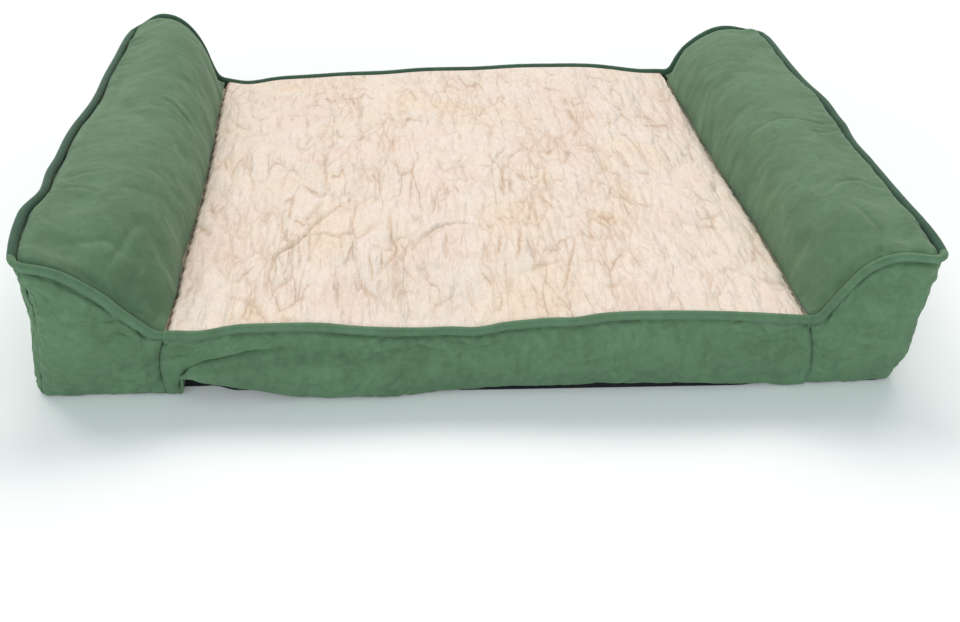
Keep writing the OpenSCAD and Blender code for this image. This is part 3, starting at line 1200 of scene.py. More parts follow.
@dataclass(frozen=True)
class Plush(Finish):
    """Short cream plush, with painted shade that is darker and warmer down in its creases and along its
    crease lines.

    Attributes:
        crease: The colour of its painted shade down in a crease.
        seam_shade: The colour of its painted shadow deep down in the crevice beside a seam.
    """

    crease: tuple[float, float, float] = (0.60, 0.42, 0.29)
    seam_shade: tuple[float, float, float] = (0.16, 0.11, 0.07)

    def look(self, nodes: Nodes) -> dict[str, object]:
        """Build the plush.

        Args:
            nodes: The material's nodes.

        Returns:
            What each input of its shader is fed, by its name.
        """
        rosy, golden = ((*(c * k for c, k in zip(self.colour, tint)), 1.0)
                        for tint in ((1.0, 0.945, 0.935), (1.01, 0.97, 0.90)))
        plain = (*self.colour, 1.0)
        base = nodes.ramp(nodes.noise(9.0, 3.0, 0.4), (0.34, rosy), (0.5, plain), (0.68, golden))
        mottled = nodes.ramp(nodes.noise(170.0, 3.0, 0.8, (1.0, 0.6, 1.0)), (0.3, (0.925, 0.90, 0.885, 1)),
                             (0.5, (1, 1, 1, 1)), (0.7, (1.035, 1.04, 1.05, 1)))
        pile = nodes.noise(520.0, 3.0, 0.3)
        tips = nodes.ramp(pile, (0.25, (0.9, 0.88, 0.86, 1)), (0.7, (1.03, 1.03, 1.03, 1)))
        colour = nodes.blend(0.7, nodes.blend(0.8, base, mottled), tips)
        # Painted shade: darker lines along the edges of long crooked patches, where the plush creases, with a
        # soft shaded band beside them, shown in the ruffled patches.
        strokes = nodes.cracks(0.030, 0.115, 0.62, 1.7)
        drawn = nodes.ramp(strokes, (0.0, (0.72, 0.63, 0.56, 1)), (0.014, (0.82, 0.75, 0.69, 1)),
                           (0.034, (0.955, 0.93, 0.90, 1)), (0.10, (1, 1, 1, 1)))
        ruffled = nodes.greys(nodes.noise(22.0, 2.0, 0.8, (1.0, 0.7, 1.0)), (0.48, 0.0), (0.64, 1.0))
        colour = nodes.blend(ruffled, colour, drawn)
        # Painted shade: a finer network of fainter crease lines, shown in patches that a stretched noise mask
        # picks.
        fine = nodes.cracks(0.0125, 0.052, 0.75, 1.7)
        fine_crease_shade = nodes.ramp(fine, (0.0, (0.82, 0.75, 0.68, 1)), (0.045, (0.945, 0.91, 0.865, 1)),
                               (0.16, (1, 0.985, 0.96, 1)))
        patchy = nodes.greys(nodes.noise(1.0, 3.0, 0.8, (19.0, 6.0, 6.0)), (0.49, 0.0), (0.63, 1.0))
        colour = nodes.blend(patchy, colour, fine_crease_shade)
        # Painted shade from the quilt's crease attribute: brown down in its creases, near black in the
        # crevice beside each bolster's seam.
        deep = nodes.add("ShaderNodeAttribute", attribute_name="crease").outputs["Fac"]
        for low, high, tone in ((0.0, 0.5, self.crease), (0.5, 1.0, self.seam_shade)):
            share = nodes.join("ShaderNodeMapRange", deep, low, high)
            colour = nodes.blend(share, colour, (*tone, 1.0), "MIX")
        soft = nodes.bump(nodes.noise(150.0, 2.0, 0.5), 0.4, 0.0015)
        shallow = nodes.bump(fine, 0.6, 0.005, soft)
        cut = nodes.bump(strokes, 0.7, 0.012, shallow)
        return {
            "Base Color": colour,
            "Normal": nodes.bump(pile, 0.5, 0.0007, cut),
            "Roughness": 0.95,
            "Specular IOR Level": 0.1,
            "Sheen Weight": 0.25,
            "Sheen Roughness": 0.5,
            "Sheen Tint": (1.0, 0.95, 0.9, 1.0),
        }


@dataclass(frozen=True)
class Woven(Finish):
    """A plain woven or pressed cloth with a fine regular thread.

    Attributes:
        threads: Threads a metre.
    """

    threads: float = 1800.0

    def look(self, nodes: Nodes) -> dict[str, object]:
        """Build the cloth.

        Args:
            nodes: The material's nodes.

        Returns:
            What each input of its shader is fed, by its name.
        """
        bands_a_step = 20.0
        waves = [
            nodes.add("ShaderNodeTexWave", bands_direction=direction, Vector=nodes.place(),
                      Scale=self.threads / bands_a_step, Distortion=0.4).outputs["Fac"]
            for direction in ("X", "Y")
        ]
        weave = nodes.join("ShaderNodeMath", *waves, operation="MAXIMUM")
        base = self.shaded(nodes, weave, (0.2, 0.7), (0.9, 1.15))
        worn = nodes.greys(nodes.noise(30.0, 3.0), (0.3, 0.85), (0.7, 1.1))
        return {
            "Base Color": nodes.blend(0.7, base, worn),
            "Normal": nodes.bump(weave, 0.4, 0.0002),
            "Roughness": 0.85,
            "Specular IOR Level": 0.25,
        }


@dataclass(frozen=True)
class Cellular(Finish):
    """Foam with open cells, or a matted fibre filling.

    Attributes:
        cells: Cells a metre.
        depth: How deep they look, in metres.
    """

    cells: float = 700.0
    depth: float = 0.0008

    def look(self, nodes: Nodes) -> dict[str, object]:
        """Build the filling.

        Args:
            nodes: The material's nodes.

        Returns:
            What each input of its shader is fed, by its name.
        """
        pores = nodes.join("ShaderNodeTexVoronoi", Vector=nodes.place(), Scale=self.cells)
        base = self.shaded(nodes, pores, (0.05, 0.75), (0.5, 1.0))
        aged = nodes.ramp(nodes.noise(9.0, 2.0), (0.3, (0.95, 0.93, 0.88, 1)), (0.7, (1, 1, 1, 1)))
        return {
            "Base Color": nodes.blend(0.8, base, aged),
            "Normal": nodes.bump(pores, 0.6, self.depth),
            "Roughness": 0.95,
            "Specular IOR Level": 0.15,
        }


@dataclass(frozen=True)
class Plated(Finish):
    """Die-cast metal with a satin plating, its tone and roughness varying at random."""

    def look(self, nodes: Nodes) -> dict[str, object]:
        """Build the metal.

        Args:
            nodes: The material's nodes.

        Returns:
            What each input of its shader is fed, by its name.
        """
        patchy = nodes.noise(400.0, 3.0)
        return {
            "Base Color": self.shaded(nodes, patchy, (0.3, 0.85), (0.7, 1.1)),
            "Normal": nodes.bump(patchy, 0.15, 0.0001),
            "Roughness": nodes.greys(nodes.noise(900.0, 2.0), (0.3, 0.28), (0.7, 0.45)),
            "Metallic": 1.0,
        }


@dataclass(frozen=True)
class Moulded(Finish):
    """Dyed moulded plastic."""

    def look(self, nodes: Nodes) -> dict[str, object]:
        """Build the plastic.

        Args:
            nodes: The material's nodes.

        Returns:
            What each input of its shader is fed, by its name.
        """
        flow = nodes.noise(600.0, 2.0)
        return {
            "Base Color": self.shaded(nodes, flow, (0.3, 0.88), (0.7, 1.12)),
            "Normal": nodes.bump(flow, 0.2, 0.0001),
            "Roughness": 0.42,
        }


SUEDE = Suede("green_suede", (0.127, 0.211, 0.122), "suede")
# A lighter, greener copy of the bolsters' suede, the same cloth: painted light on the upright panels. Its
# stronger nap mottling is the cloth's own.
LIGHTENED_PANEL_SUEDE = Suede("panel_suede", (0.131, 0.220, 0.127), "suede", 1.25)
WELT_SUEDE = Suede("piping_suede", (0.122, 0.212, 0.124), "welt_suede")
# A darkened copy of the piping suede, the same cloth as the front welt: painted shade on the back and side
# welts.
SHADED_WELT_SUEDE = Suede("outer_piping_suede", (0.062, 0.118, 0.078), "welt_suede")
PLUSH = Plush("cream_plush", (0.915, 0.775, 0.69), "plush")
UNDERSIDE = Woven("black_weave", (0.012, 0.013, 0.015), "underside_cloth", 900.0)
LINING = Woven("grey_lining", (0.6, 0.6, 0.57), "lining", 1500.0)
TAPE = Woven("green_tape", (0.05, 0.1, 0.06), "zipper_tape", 2600.0)
FOAM = Cellular("cream_foam", (0.82, 0.78, 0.58), "foam", 700.0)
FIBRE = Cellular("white_fibre", (0.86, 0.86, 0.84), "fibre", 260.0, 0.002)
METAL = Plated("satin_metal", (0.5, 0.51, 0.52), "zipper_metal")
TEETH = Moulded("moulded_teeth", (0.03, 0.07, 0.04), "zipper_teeth")


def finished(piece: bpy.types.Object, finish: Finish, node: str, body: str = "bed") -> bpy.types.Object:
    """Dress a piece, seat it on its body and let it stand for a node.

    Args:
        piece: The piece.
        finish: Its finish.
        node: The node that it stands for.
        body: The body that it rides on.

    Returns:
        The piece.
    """
    finish.dress(piece)
    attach(piece, body)
    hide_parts(node)
    LOG.info("%s: %d faces", piece.name, len(piece.data.polygons))
    return piece


@dataclass
class SleepQuilt:
    """The crinkled plush that the dog lies on.

    Attributes:
        form: The bed's shape.
        creases: Its longest creases, in plan.
        spacing: Distance between its points.
        crown: How much thicker it is in its middle.
        under: Height of its flat underside.
        crackle: Width of its largest creased patches.
        long: Their length as a share of their width.
        streak: Distance between its fine wrinkles.
        depth: Depth of its deepest creases.
        ragged: How far the creases' edges stray.
        pinch: Width of its small patches, as a share of the large ones.
        puff: How far a large patch is puffed up.
        small_puff: The same for a small one.
        streak_h: Height of its fine wrinkles.
        roll: Height of its broad rolls.
        nub: Height of its finest bumps.
        full_shade_d: Depth at which a crease's painted shade is darkest.
        side_fall: How far it dips beside a bolster.
        end_fall: How far it dips beside the front and back welts.
        side_rise: How much higher it stands just inside that dip.
        fray: How far its edge strays from a bolster's seam.
    """

    form: BedForm
    creases: tuple[Crease, ...] = ()
    spacing: float = 0.0023
    crown: float = 0.010
    under: float = 0.0781
    crackle: float = 0.034
    long: float = 4.0
    streak: float = 0.0065
    depth: float = 0.0026
    ragged: float = 0.0022
    pinch: float = 0.42
    puff: float = 0.0010
    small_puff: float = 0.0006
    streak_h: float = 0.0009
    roll: float = 0.0026
    nub: float = 0.0006
    full_shade_d: float = 0.0022
    side_fall: float = 0.0035
    end_fall: float = 0.0008
    side_rise: float = 0.0015
    fray: float = 0.0030

    def crinkle(self, x: np.ndarray, y: np.ndarray) -> tuple[np.ndarray, np.ndarray]:
        """Work out the creases.

        Args:
            x: Places across the bed.
            y: Places along it.

        Returns:
            How far the plush is raised, and how deep in a crease each place is, from 0 to a half, which sets
            its painted shade.
        """
        warp_a, warp_b, ragged = Noise(11), Noise(12), Noise(13)
        crooked_x = x + self.ragged * ragged.layered(x / 0.011, y / 0.016)
        crooked_y = y + self.ragged * ragged.layered(y / 0.011 + 9.0, x / 0.011)
        u = crooked_x + 0.012 * warp_a.layered(x / 0.05, y / 0.08)
        v = crooked_y + 0.016 * warp_b.layered(x / 0.04, y / 0.08)
        patches = Noise(21).wall(u / self.crackle, v / (self.long * self.crackle)) * self.crackle
        narrow = self.pinch * self.crackle
        pinches = Noise(22).wall(u / narrow, v / (1.4 * self.crackle)) * narrow
        shown = ramp(-0.25, 0.4, Noise(31).layered(x / 0.04, y / 0.06))
        pinched = ramp(-0.05, 0.5, Noise(32).layered(x / 0.05, y / 0.09))
        streaked = ramp(-0.2, 0.45, Noise(33).layered(x / 0.07 + 4.0, y / 0.12))
        large = hump(patches, 0.0016) * shown
        small = hump(pinches, 0.0013) * pinched
        waves = Noise(41).layered(u / self.streak, v / 0.055, 2)
        furrow = hump(waves, 0.15) * streaked
        billow = self.puff * ramp(0.0, 0.012, patches) * mix(0.3, 1.0, shown)
        billow += self.small_puff * ramp(0.0, 0.006, pinches) * mix(0.3, 1.0, pinched)
        billow += self.streak_h * streaked * waves + self.roll * Noise(51).layered(x / 0.11, y / 0.11)
        billow += self.nub * Noise(52).layered(x / 0.012, y / 0.03)
        drop = self.depth * (0.6 * large + 0.4 * small + 0.3 * furrow)
        # How deep each place lies in a crease, which sets the plush's painted shade.
        deep = 0.4 * np.clip(0.8 * large**2 + 0.5 * small**2 + 0.35 * furrow**2, 0.0, 1.0)
        pressed = sum(crease.lift(crooked_x, crooked_y) for crease in self.creases)
        deep = np.maximum(deep, 0.5 * np.clip(-pressed / self.full_shade_d, 0.0, 1.0) ** 1.5)
        return billow - drop + pressed, deep

    def build(self) -> bpy.types.Object:
        """Make the quilt.

        Returns:
            The piece.
        """
        form = self.form
        half_x = form.seam_x - form.gap
        half_y = form.half_d - form.edge
        columns, rows = (int(2 * half / self.spacing) + 1 for half in (half_x, half_y))
        x = np.linspace(-half_x, half_x, columns)[:, None]
        y = np.linspace(-half_y, half_y, rows)[None, :]
        x, y = np.broadcast_arrays(x, y)
        side_gap, end_gap = half_x - np.abs(x), half_y - np.abs(y)
        lift, deep = self.crinkle(x, y)
        calm = ramp(0.004, 0.03, half_y + y) * ramp(0.002, 0.02, half_y - y)
        calm *= mix(0.6, 1.0, ramp(0.0, 0.012, side_gap))
        crown = (1 - np.abs(x / half_x) ** 3) * (1 - np.abs(y / half_y) ** 3)
        fall = self.side_fall * hump(side_gap, 0.003) + self.end_fall * hump(end_gap, 0.003)
        z = form.seam_z(x, y) + self.crown * crown + lift * calm - fall
        z += self.side_rise * ramp(0.0, 0.01, side_gap)
        frayed = Noise(61).layered(y / 0.012, np.sign(x) * 3.0 + 0.0 * y, 3)
        wobble = -self.fray * ramp(-0.45, 0.45, frayed) * hump(side_gap, 0.005)
        top = stacked(x + np.sign(x) * wobble, y, z)
        piece = self.closed(form.settle(top), stacked(x, y, self.under))
        # The crease attribute carries painted shade: darker down in the creases, darkest in the crevice
        # beside each bolster's seam.
        shading = piece.data.attributes.new("crease", "FLOAT", "POINT")
        values = np.zeros(len(piece.data.vertices), np.float32)
        values[:deep.size] = np.maximum(deep * calm, hump(side_gap, 0.0022)).ravel()
        shading.data.foreach_set("value", values)
        finished(piece, PLUSH, "sleep_quilt")
        return piece

    def closed(self, top: Grid, bottom: Grid) -> bpy.types.Object:
        """Close the quilt below with rings that narrow to its middle.

        Args:
            top: Its upper surface as it lies.
            bottom: The same columns and rows on its underside, as sewn.

        Returns:
            The closed piece.
        """
        columns, rows = top.shape[:2]
        rim = rim_of(columns, rows)
        edge = bottom.reshape(-1, 3)[rim]
        middle = bottom[columns // 2, rows // 2]
        shares = (1.0, 0.985, 0.95, 0.9, 0.82, 0.7, 0.45, 0.2)
        rings = [self.form.settle(mix(middle, edge, share)) for share in shares]
        count, around = columns * rows, len(rim)
        index = count + np.arange(len(rings) * around).reshape(len(rings), around)
        index = np.concatenate([rim[None], index])
        points = np.concatenate([top.reshape(-1, 3), *rings, middle[None]])
        faces = [grid_faces(columns, rows), ring_faces(index), fan_faces(len(points) - 1, index[-1])]
        return new_piece("sleep_quilt_cover", points, np.concatenate(faces))


@dataclass
class Bolster:
    """One stuffed arm: its cloth, its filling and the lining below.

    Attributes:
        form: The bed's shape.
        side: Which arm.
        creases: Its creases, in plan.
        plump: How far its cloth bulges beside its outer welt.
        spacing: Distance between the points that are simulated.
        fill_gap: Space between the cloth and the filling.
        lining_t: Thickness of the lining.
        fill_z: Height of the filling's underside.
        gather: Height of the gathers beside its outer welt.
        end_gathers: The gathers beside its end welts.
        seam_gathers: Those beside the quilt.
        slack: Height of its broad waves.
        nub: Height of its finest bumps.
        side_draw: How far its cloth is drawn in at its outer welt.
        end_plump: How far it bulges beside an end welt.
        end_draw: How far it is drawn in there.
    """

    form: BedForm
    side: Side
    creases: tuple[Crease, ...] = ()
    plump: float = 0.0034
    spacing: float = 0.0066
    fill_gap: float = 0.002
    lining_t: float = 0.001
    fill_z: float = 0.0794
    gather: float = 0.0030
    end_gathers: Gathers = Gathers(0.0010, 0.010, 0.07, 0.008, 0.014)
    seam_gathers: Gathers = Gathers(0.0005, 0.016, 0.05, 0.008, 0.016)
    slack: float = 0.0022
    nub: float = 0.0007
    side_draw: float = 0.0030
    end_plump: float = 0.0016
    end_draw: float = 0.0034

    @property
    def name(self) -> str:
        """The arm's name."""
        return self.side.name.lower()

    @property
    def half_length(self) -> float:
        """Half the length of the cloth."""
        return self.form.half_d - self.form.edge

    def cut(self, room: SewingRoom) -> None:
        """Lay out the cloth that goes over the arm.

        Args:
            room: Where it is settled.
        """
        columns = int(self.form.middle_curve.length / self.spacing) + 1
        rows = int(2 * self.half_length / self.spacing) + 1
        share = np.linspace(0, 1, columns)[:, None]
        steps = np.linspace(-1, 1, rows)[None, :]
        y = self.half_length * (0.82 * steps + 0.18 * np.sin(steps * math.pi / 2))
        grid = mirrored(self.form.bolster(share, y), self.side)
        grid = outward(grid, (-self.side.value * 0.3, 0.0, 1.0))
        room.patterns["bolster_" + self.name] = Pattern(grid, 0.010, 0.6, 0.007, 0.004, ironed=2)

    def nap(self, grid: Grid) -> Grid:
        """Add the small folds that the simulation is too coarse for.

        Args:
            grid: The settled cloth.

        Returns:
            The cloth with its gathers.
        """
        x, y = np.abs(grid[..., 0]), grid[..., 1]
        seed = 70 + self.side.value
        to_side = self.form.cloth_x - x
        to_seam = np.hypot(x - self.form.bolster_x, np.maximum(grid[..., 2] - self.form.seam_h, 0.0))
        to_end = self.half_length - np.abs(y)
        drawn = mix(0.35, 1.0, ramp(0.0, 0.16, y)) if self.side is Side.LEFT else 0.4
        sway = 0.5 * Noise(seed + 1).smooth(y / 0.03, to_side / 0.03)
        gathers = Noise(seed).layered(y / 0.0075 + sway, to_side / 0.08, 2)
        reach = mix(0.014, 0.044, drawn * (0.6 + 0.4 * Noise(seed + 3).smooth(y / 0.02, 0.0 * y)))
        lift = self.gather * gathers * drawn * ramp(0.0, 0.006, to_side)
        lift *= 1 - ramp(0.3, 1.0, to_side / reach)
        lift += self.end_gathers.lift(seed + 5, x, to_end)
        lift += self.seam_gathers.lift(seed + 7, y, to_seam)
        lift += self.slack * Noise(seed + 9).layered(x / 0.055, y / 0.075, 2)
        lift += self.nub * Noise(seed + 11).layered(x / 0.02 + y / 0.03, y / 0.02, 2)
        lift += sum(crease.lift(x, y) for crease in self.creases)
        lift += self.plump * hump(to_side - 0.013, 0.010) - self.side_draw * hump(to_side, 0.004)
        lift += self.end_plump * hump(to_end - 0.012, 0.009) - self.end_draw * hump(to_end, 0.004)
        return grid + normals_of(grid) * lift[..., None]

    def build(self, room: SewingRoom) -> list[bpy.types.Object]:
        """Make the arm's pieces.

        Args:
            room: Where its cloth was settled.

        Returns:
            The pieces.
        """
        settled = room.patterns["bolster_" + self.name].settled
        middle = self.nap(doubled(doubled(settled)))
        cover = cloth_shell("bolster_cover_" + self.name, self.form.settle(middle), self.form.cloth_t)
        finished(cover, SUEDE, "bolster_cloth_" + self.name)
        "bolster_filling_" + self.name
        return [cover, self.filling(middle[::4, ::4]), self.lining()]

    def filling(self, cloth: Grid) -> bpy.types.Object:
        """Make the fibre filling, which pushes against the cloth from within.

        Args:
            cloth: The middle of the cloth.

        Returns:
            The piece.
        """
        half = self.half_length - self.fill_gap - self.form.gap
        lumps = Noise(81 + self.side.value).layered(cloth[..., 0] / 0.03, cloth[..., 1] / 0.04)
        columns, rows = (np.minimum(steps, steps[::-1]) for steps in map(np.arange, cloth.shape[:2]))
        from_edge = np.minimum(columns[:, None], rows[None, :])
        inward = self.form.cloth_t / 2 + self.fill_gap + 0.0008 * (1 + lumps) + 0.006 * hump(from_edge, 1.2)
        top = cloth - normals_of(cloth) * inward[..., None]
        top[..., 1] = np.clip(top[..., 1], -half, half)
        top[..., 2] = np.maximum(top[..., 2], self.fill_z + 0.001)
        bottom = top.copy()
        bottom[..., 2] = self.fill_z
        piece = shell("bolster_filling_" + self.name, self.form.settle(top), self.form.settle(bottom))
        finished(piece, FIBRE, "bolster_fill_" + self.name)
        return piece

    def lining(self) -> bpy.types.Object:
        """Make the lining below the filling.

        Returns:
            The piece.
        """
        low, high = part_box("bolster_lining_" + self.name)
        x = np.linspace(low.x, high.x, 24)[:, None]
        y = np.linspace(low.y, high.y, 120)[None, :]
        middle = outward(stacked(x, y, (low.z + high.z) / 2), (0.0, 0.0, 1.0))
        piece = cloth_shell("bolster_bottom_" + self.name, self.form.settle(middle), self.lining_t)
        finished(piece, LINING, "bolster_lining_" + self.name)
        return piece


@dataclass
class UprightPanels:
    """The panels that stand round the bed between its underside and its welt.

    Attributes:
        form: The bed's shape.
        hangs: How the front panel hangs, from its left to its right.
        creases: Creases of the front, across and up.
        spacing: Distance between the points that are simulated.
        slot_low: Height of the lower edge of the slot for the zipper.
        slot_high: Height of its upper edge.
        strip_y: Y of the back strips' edges beside the zipper.
        seam_gap: Space left between panels in an upright seam.
        hook_x: Where the front panel's fold begins.
        hook_z: The height of that place.
        hook_lean: How far the fold's edge leans to the right as it rises.
        wrinkle: Height of its broad wrinkles.
        fold_d: Depth of its few long folds.
        ruffle_d: Depth of its many short ones.
        top_gathers: The gathers below the welt.
        foot_gathers: Those above the floor.
        end_gather: Height of those beside an upright seam.
        end_draw: How far the cloth is drawn in at an upright seam.
        top_draw: The same at the welt.
        foot_draw: The same at the floor.
        pucker: Height of the back strips' puckers.
        loose_h: Height up to which the front panel hangs loose.
        crease_d: Depth of the crease above its pouch.
        hollow_d: Depth of the hollow beside its fold.
        undercut: How far the fold's edge is drawn over that hollow.
    """

    form: BedForm
    hangs: tuple[Hang, ...] = ()
    creases: tuple[Crease, ...] = ()
    spacing: float = 0.006
    slot_low: float = 0.03495
    slot_high: float = 0.04815
    strip_y: float = 0.34135
    seam_gap: float = 0.0001
    hook_x: float = -0.3140
    hook_z: float = 0.018
    hook_lean: float = 0.42
    wrinkle: float = 0.0023
    fold_d: float = 0.0022
    ruffle_d: float = 0.0013
    top_gathers: Gathers = Gathers(0.0008, 0.012, 0.06, 0.006, 0.014)
    foot_gathers: Gathers = Gathers(0.0006, 0.014, 0.05, 0.006, 0.012)
    end_gather: float = 0.0006
    end_draw: float = 0.0010
    top_draw: float = 0.0038
    foot_draw: float = 0.002
    pucker: float = 0.0009
    loose_h: float = 0.07
    crease_d: float = 0.0050
    hollow_d: float = 0.014
    undercut: float = 0.0075

    def lines(self, kind: Upright) -> np.ndarray:
        """Lay out a panel's upright lines.

        Args:
            kind: Which panel.

        Returns:
            The plan point of each one's foot, that of its top, its outward direction and its top's height.
        """
        form = self.form
        front = -form.half_d
        quarter = np.radians(np.linspace(1.2, 43.8, 6))
        if kind is Upright.FRONT:
            x = np.linspace(-1, 1, int(2 * form.bolster_x / self.spacing)) * (form.bolster_x - self.seam_gap)
            z = form.seam_z(x, np.full(x.shape, front)) - form.edge
            return stacked(x, front, x, front, 0.0, -1.0, z)
        if kind is Upright.END:
            share = np.linspace(0, 1, int(form.end_curve.length / self.spacing))
            x, z, _ = form.end_curve.at(share, -form.edge)
            along = (x - form.bolster_x) / (form.half_top - form.corner_r - form.bolster_x)
            foot_x = mix(form.bolster_x, form.half_base - form.corner_r, along)
            return np.concatenate([stacked(foot_x, front, x, front, 0.0, -1.0, z), self._corner(quarter)])
        y = form.flat_y * np.linspace(-1, 1, int(2 * form.flat_y / self.spacing))
        straight = stacked(form.half_base, y, form.half_top, y, 1.0, 0.0, form.side_z(y) - form.edge)
        corner = self._corner(quarter + math.pi / 4)
        to_back = np.array([1.0, -1.0, 1.0, -1.0, 1.0, -1.0, 1.0])
        return np.concatenate([corner, straight, (corner * to_back)[::-1]])

    def _corner(self, turn: np.ndarray) -> np.ndarray:
        """Lay out the upright lines round a corner.

        Args:
            turn: Angles round it, from the front.

        Returns:
            The lines.
        """
        form, out_x, out_y = self.form, np.sin(turn), -np.cos(turn)
        x, y = form.corner_r * (out_x - 1.0), form.corner_r * out_y - form.flat_y
        return stacked(x + form.half_base, y, x + form.half_top, y, out_x, out_y, form.corner_z - form.edge)

    def standing(self, kind: Upright, rows: int) -> Grid:
        """Stand a panel up.

        Args:
            kind: Which panel.
            rows: How many points up it.

        Returns:
            The points of the middle of its cloth.
        """
        lines = self.lines(kind)[:, None]
        foot, top, outwards, high = np.split(lines, [2, 4, 6], axis=-1)
        lengthwise = 1 - np.abs(2 * np.linspace(0, 1, len(lines)) - 1) ** 6
        up = np.linspace(0, 1, rows)[None, :, None]
        tall = 1 - np.abs(2 * up - 1) ** 2.5
        plan = mix(foot, top, up) + outwards * (self.form.swell_out * lengthwise[:, None, None] * tall)
        return np.concatenate([plan, mix(self.form.panel_z, high, up)], axis=-1)

    def cut(self, room: SewingRoom) -> None:
        """Lay out every upright panel.

        Args:
            room: Where they are settled.
        """
        front = outward(self.standing(Upright.FRONT, 15), (0.0, -1.0, 0.0))
        room.patterns["front"] = Pattern(front, 0.02, 0.5, 0.006, 0.003)
        for side in Side:
            tall = outward(mirrored(self.standing(Upright.SIDE, 24), side), (side.value, 0.0, 0.0))
            room.patterns["side_" + side.name] = Pattern(tall, 0.012, 0.5, 0.006, 0.003)
            for end in End:
                grid = mirrored(self.standing(Upright.END, 24), side, end)
                grid = outward(grid, (0.0, end.value, 0.0))
                room.patterns[f"end_{side.name}_{end.name}"] = Pattern(grid, 0.012, 0.5, 0.005, 0.003)

    def creased(self, grid: Grid, seed: int) -> Grid:
        """Add soft wrinkles and draw the cloth in along its seams.

        Args:
            grid: The settled panel.
            seed: Picks its wrinkles.

        Returns:
            The panel with its wrinkles.
        """
        columns, rows = grid.shape[:2]
        step = np.linalg.norm(np.diff(grid, axis=0), axis=-1)
        along = np.concatenate([np.zeros((1, rows)), np.cumsum(step, axis=0)])
        rise = np.linalg.norm(np.diff(grid, axis=1), axis=-1)
        up = np.concatenate([np.zeros((columns, 1)), np.cumsum(rise, axis=1)], axis=1)
        to_end = np.minimum(along, along[-1:] - along)
        to_top = up[:, -1:] - up
        lift = self.wrinkle * Noise(seed).layered(along / 0.06 + up / 0.07, up / 0.04 - along / 0.16, 3)
        folds = np.abs(Noise(seed + 4).layered(along / 0.05 - up / 0.04, up / 0.03 + along / 0.12, 2))
        folded = ramp(0.0, 0.5, Noise(seed + 6).smooth(along / 0.07, up / 0.05))
        lift -= self.fold_d * hump(folds, 0.12) * folded
        ruffles = np.abs(Noise(seed + 8).layered(along / 0.036 + up / 0.06, up / 0.019 - along / 0.10, 2))
        ruffled = ramp(-0.25, 0.3, Noise(seed + 9).smooth(along / 0.09, up / 0.06))
        lift -= self.ruffle_d * hump(ruffles, 0.13) * ruffled
        lift += self.top_gathers.lift(seed + 1, along, to_top)
        lift += self.foot_gathers.lift(seed + 2, along, up)
        gathers = Noise(seed + 3).layered(to_end / 0.05, up / 0.007, 2)
        lift += self.end_gather * gathers * hump(to_end - 0.008, 0.014)
        if grid[..., 1].max() < 0:
            lift += sum(crease.lift(grid[..., 0], grid[..., 2]) for crease in self.creases)
        lift = lift - self.end_draw * hump(to_end, 0.003) - self.top_draw * hump(to_top, 0.0038)
        lift -= self.foot_draw * hump(up, 0.004)
        return grid + normals_of(grid) * lift[..., None]

    def slump(self, grid: Grid) -> Grid:
        """Let the front panel hang loose, with the fold at its left.

        Args:
            grid: The front panel.

        Returns:
            The panel as it lies.
        """
        x, z = grid[..., 0], grid[..., 2]
        near = np.linspace(-0.005, 0.005, 5)
        places, *hung = zip(*(astuple(hang) for hang in self.hangs))
        fold, bulge, hem_out, hem_lift = (
            sum(np.interp(x + step, places, values) for step in near) / len(near) for values in hung
        )
        hook = self.hook_x + self.hook_lean * (z - self.hook_z)
        opened = ramp(0.0, 0.007, x - hook)
        pouch = bulge * opened * ramp(0.0, 0.020, fold - z)
        off_floor = ramp(-0.001, 0.0045, x - hook)
        hem = hem_out * off_floor - bulge * opened
        loose = (1 - np.clip((z - self.form.panel_z) / self.loose_h, 0.0, 1.0)) ** 2
        fading = (1 - ramp(-0.255, -0.175, x)) * opened
        dent = self.crease_d * hump(fold + 0.001 - z, 0.0024) * fading
        beside = ramp(0.006, 0.016, z) * ramp(0.0, 0.010, fold - z)
        dent += self.hollow_d * hump(x - hook + 0.002, 0.0036) * beside
        move = np.zeros_like(grid)
        move[..., 0] = -self.undercut * hump(x - hook - 0.006, 0.0045) * beside
        move[..., 1] = dent - pouch - hem * loose**1.5
        move[..., 2] = hem_lift * off_floor * loose + 0.0012 * hump(fold - 0.005 - z, 0.004) * fading
        return grid + move

    def build(self, room: SewingRoom) -> list[bpy.types.Object]:
        """Make the panels.

        Args:
            room: Where they were settled.

        Returns:
            The pieces.
        """
        front = doubled(doubled(room.patterns["front"].settled))
        pieces = [self.piece("front_cover", "front_panel", self.slump(self.creased(front, 101)))]
        for number, side in enumerate(Side):
            name = side.name.lower()
            grid = doubled(room.patterns["side_" + side.name].settled)
            grid = self.creased(grid, 111 + number * 5)
            pieces.append(self.piece("side_cover_" + name, "side_panel_" + name, grid))
            for end in End:
                place = f"{end.name.lower()}_end"
                grid = doubled(room.patterns[f"end_{side.name}_{end.name}"].settled)
                grid = doubled(grid) if end is End.FRONT else grid
                grid = self.creased(grid, 131 + number * 10 + (end.value + 1) * 3)
                pieces.append(self.piece(f"{place}_cover_{name}", f"{place}_panel_{name}", grid))
        for strip in Strip:
            name = strip.name.lower()
            pieces.append(self.piece("back_cover_" + name, "back_panel_" + name, self.back(strip)))
        return pieces

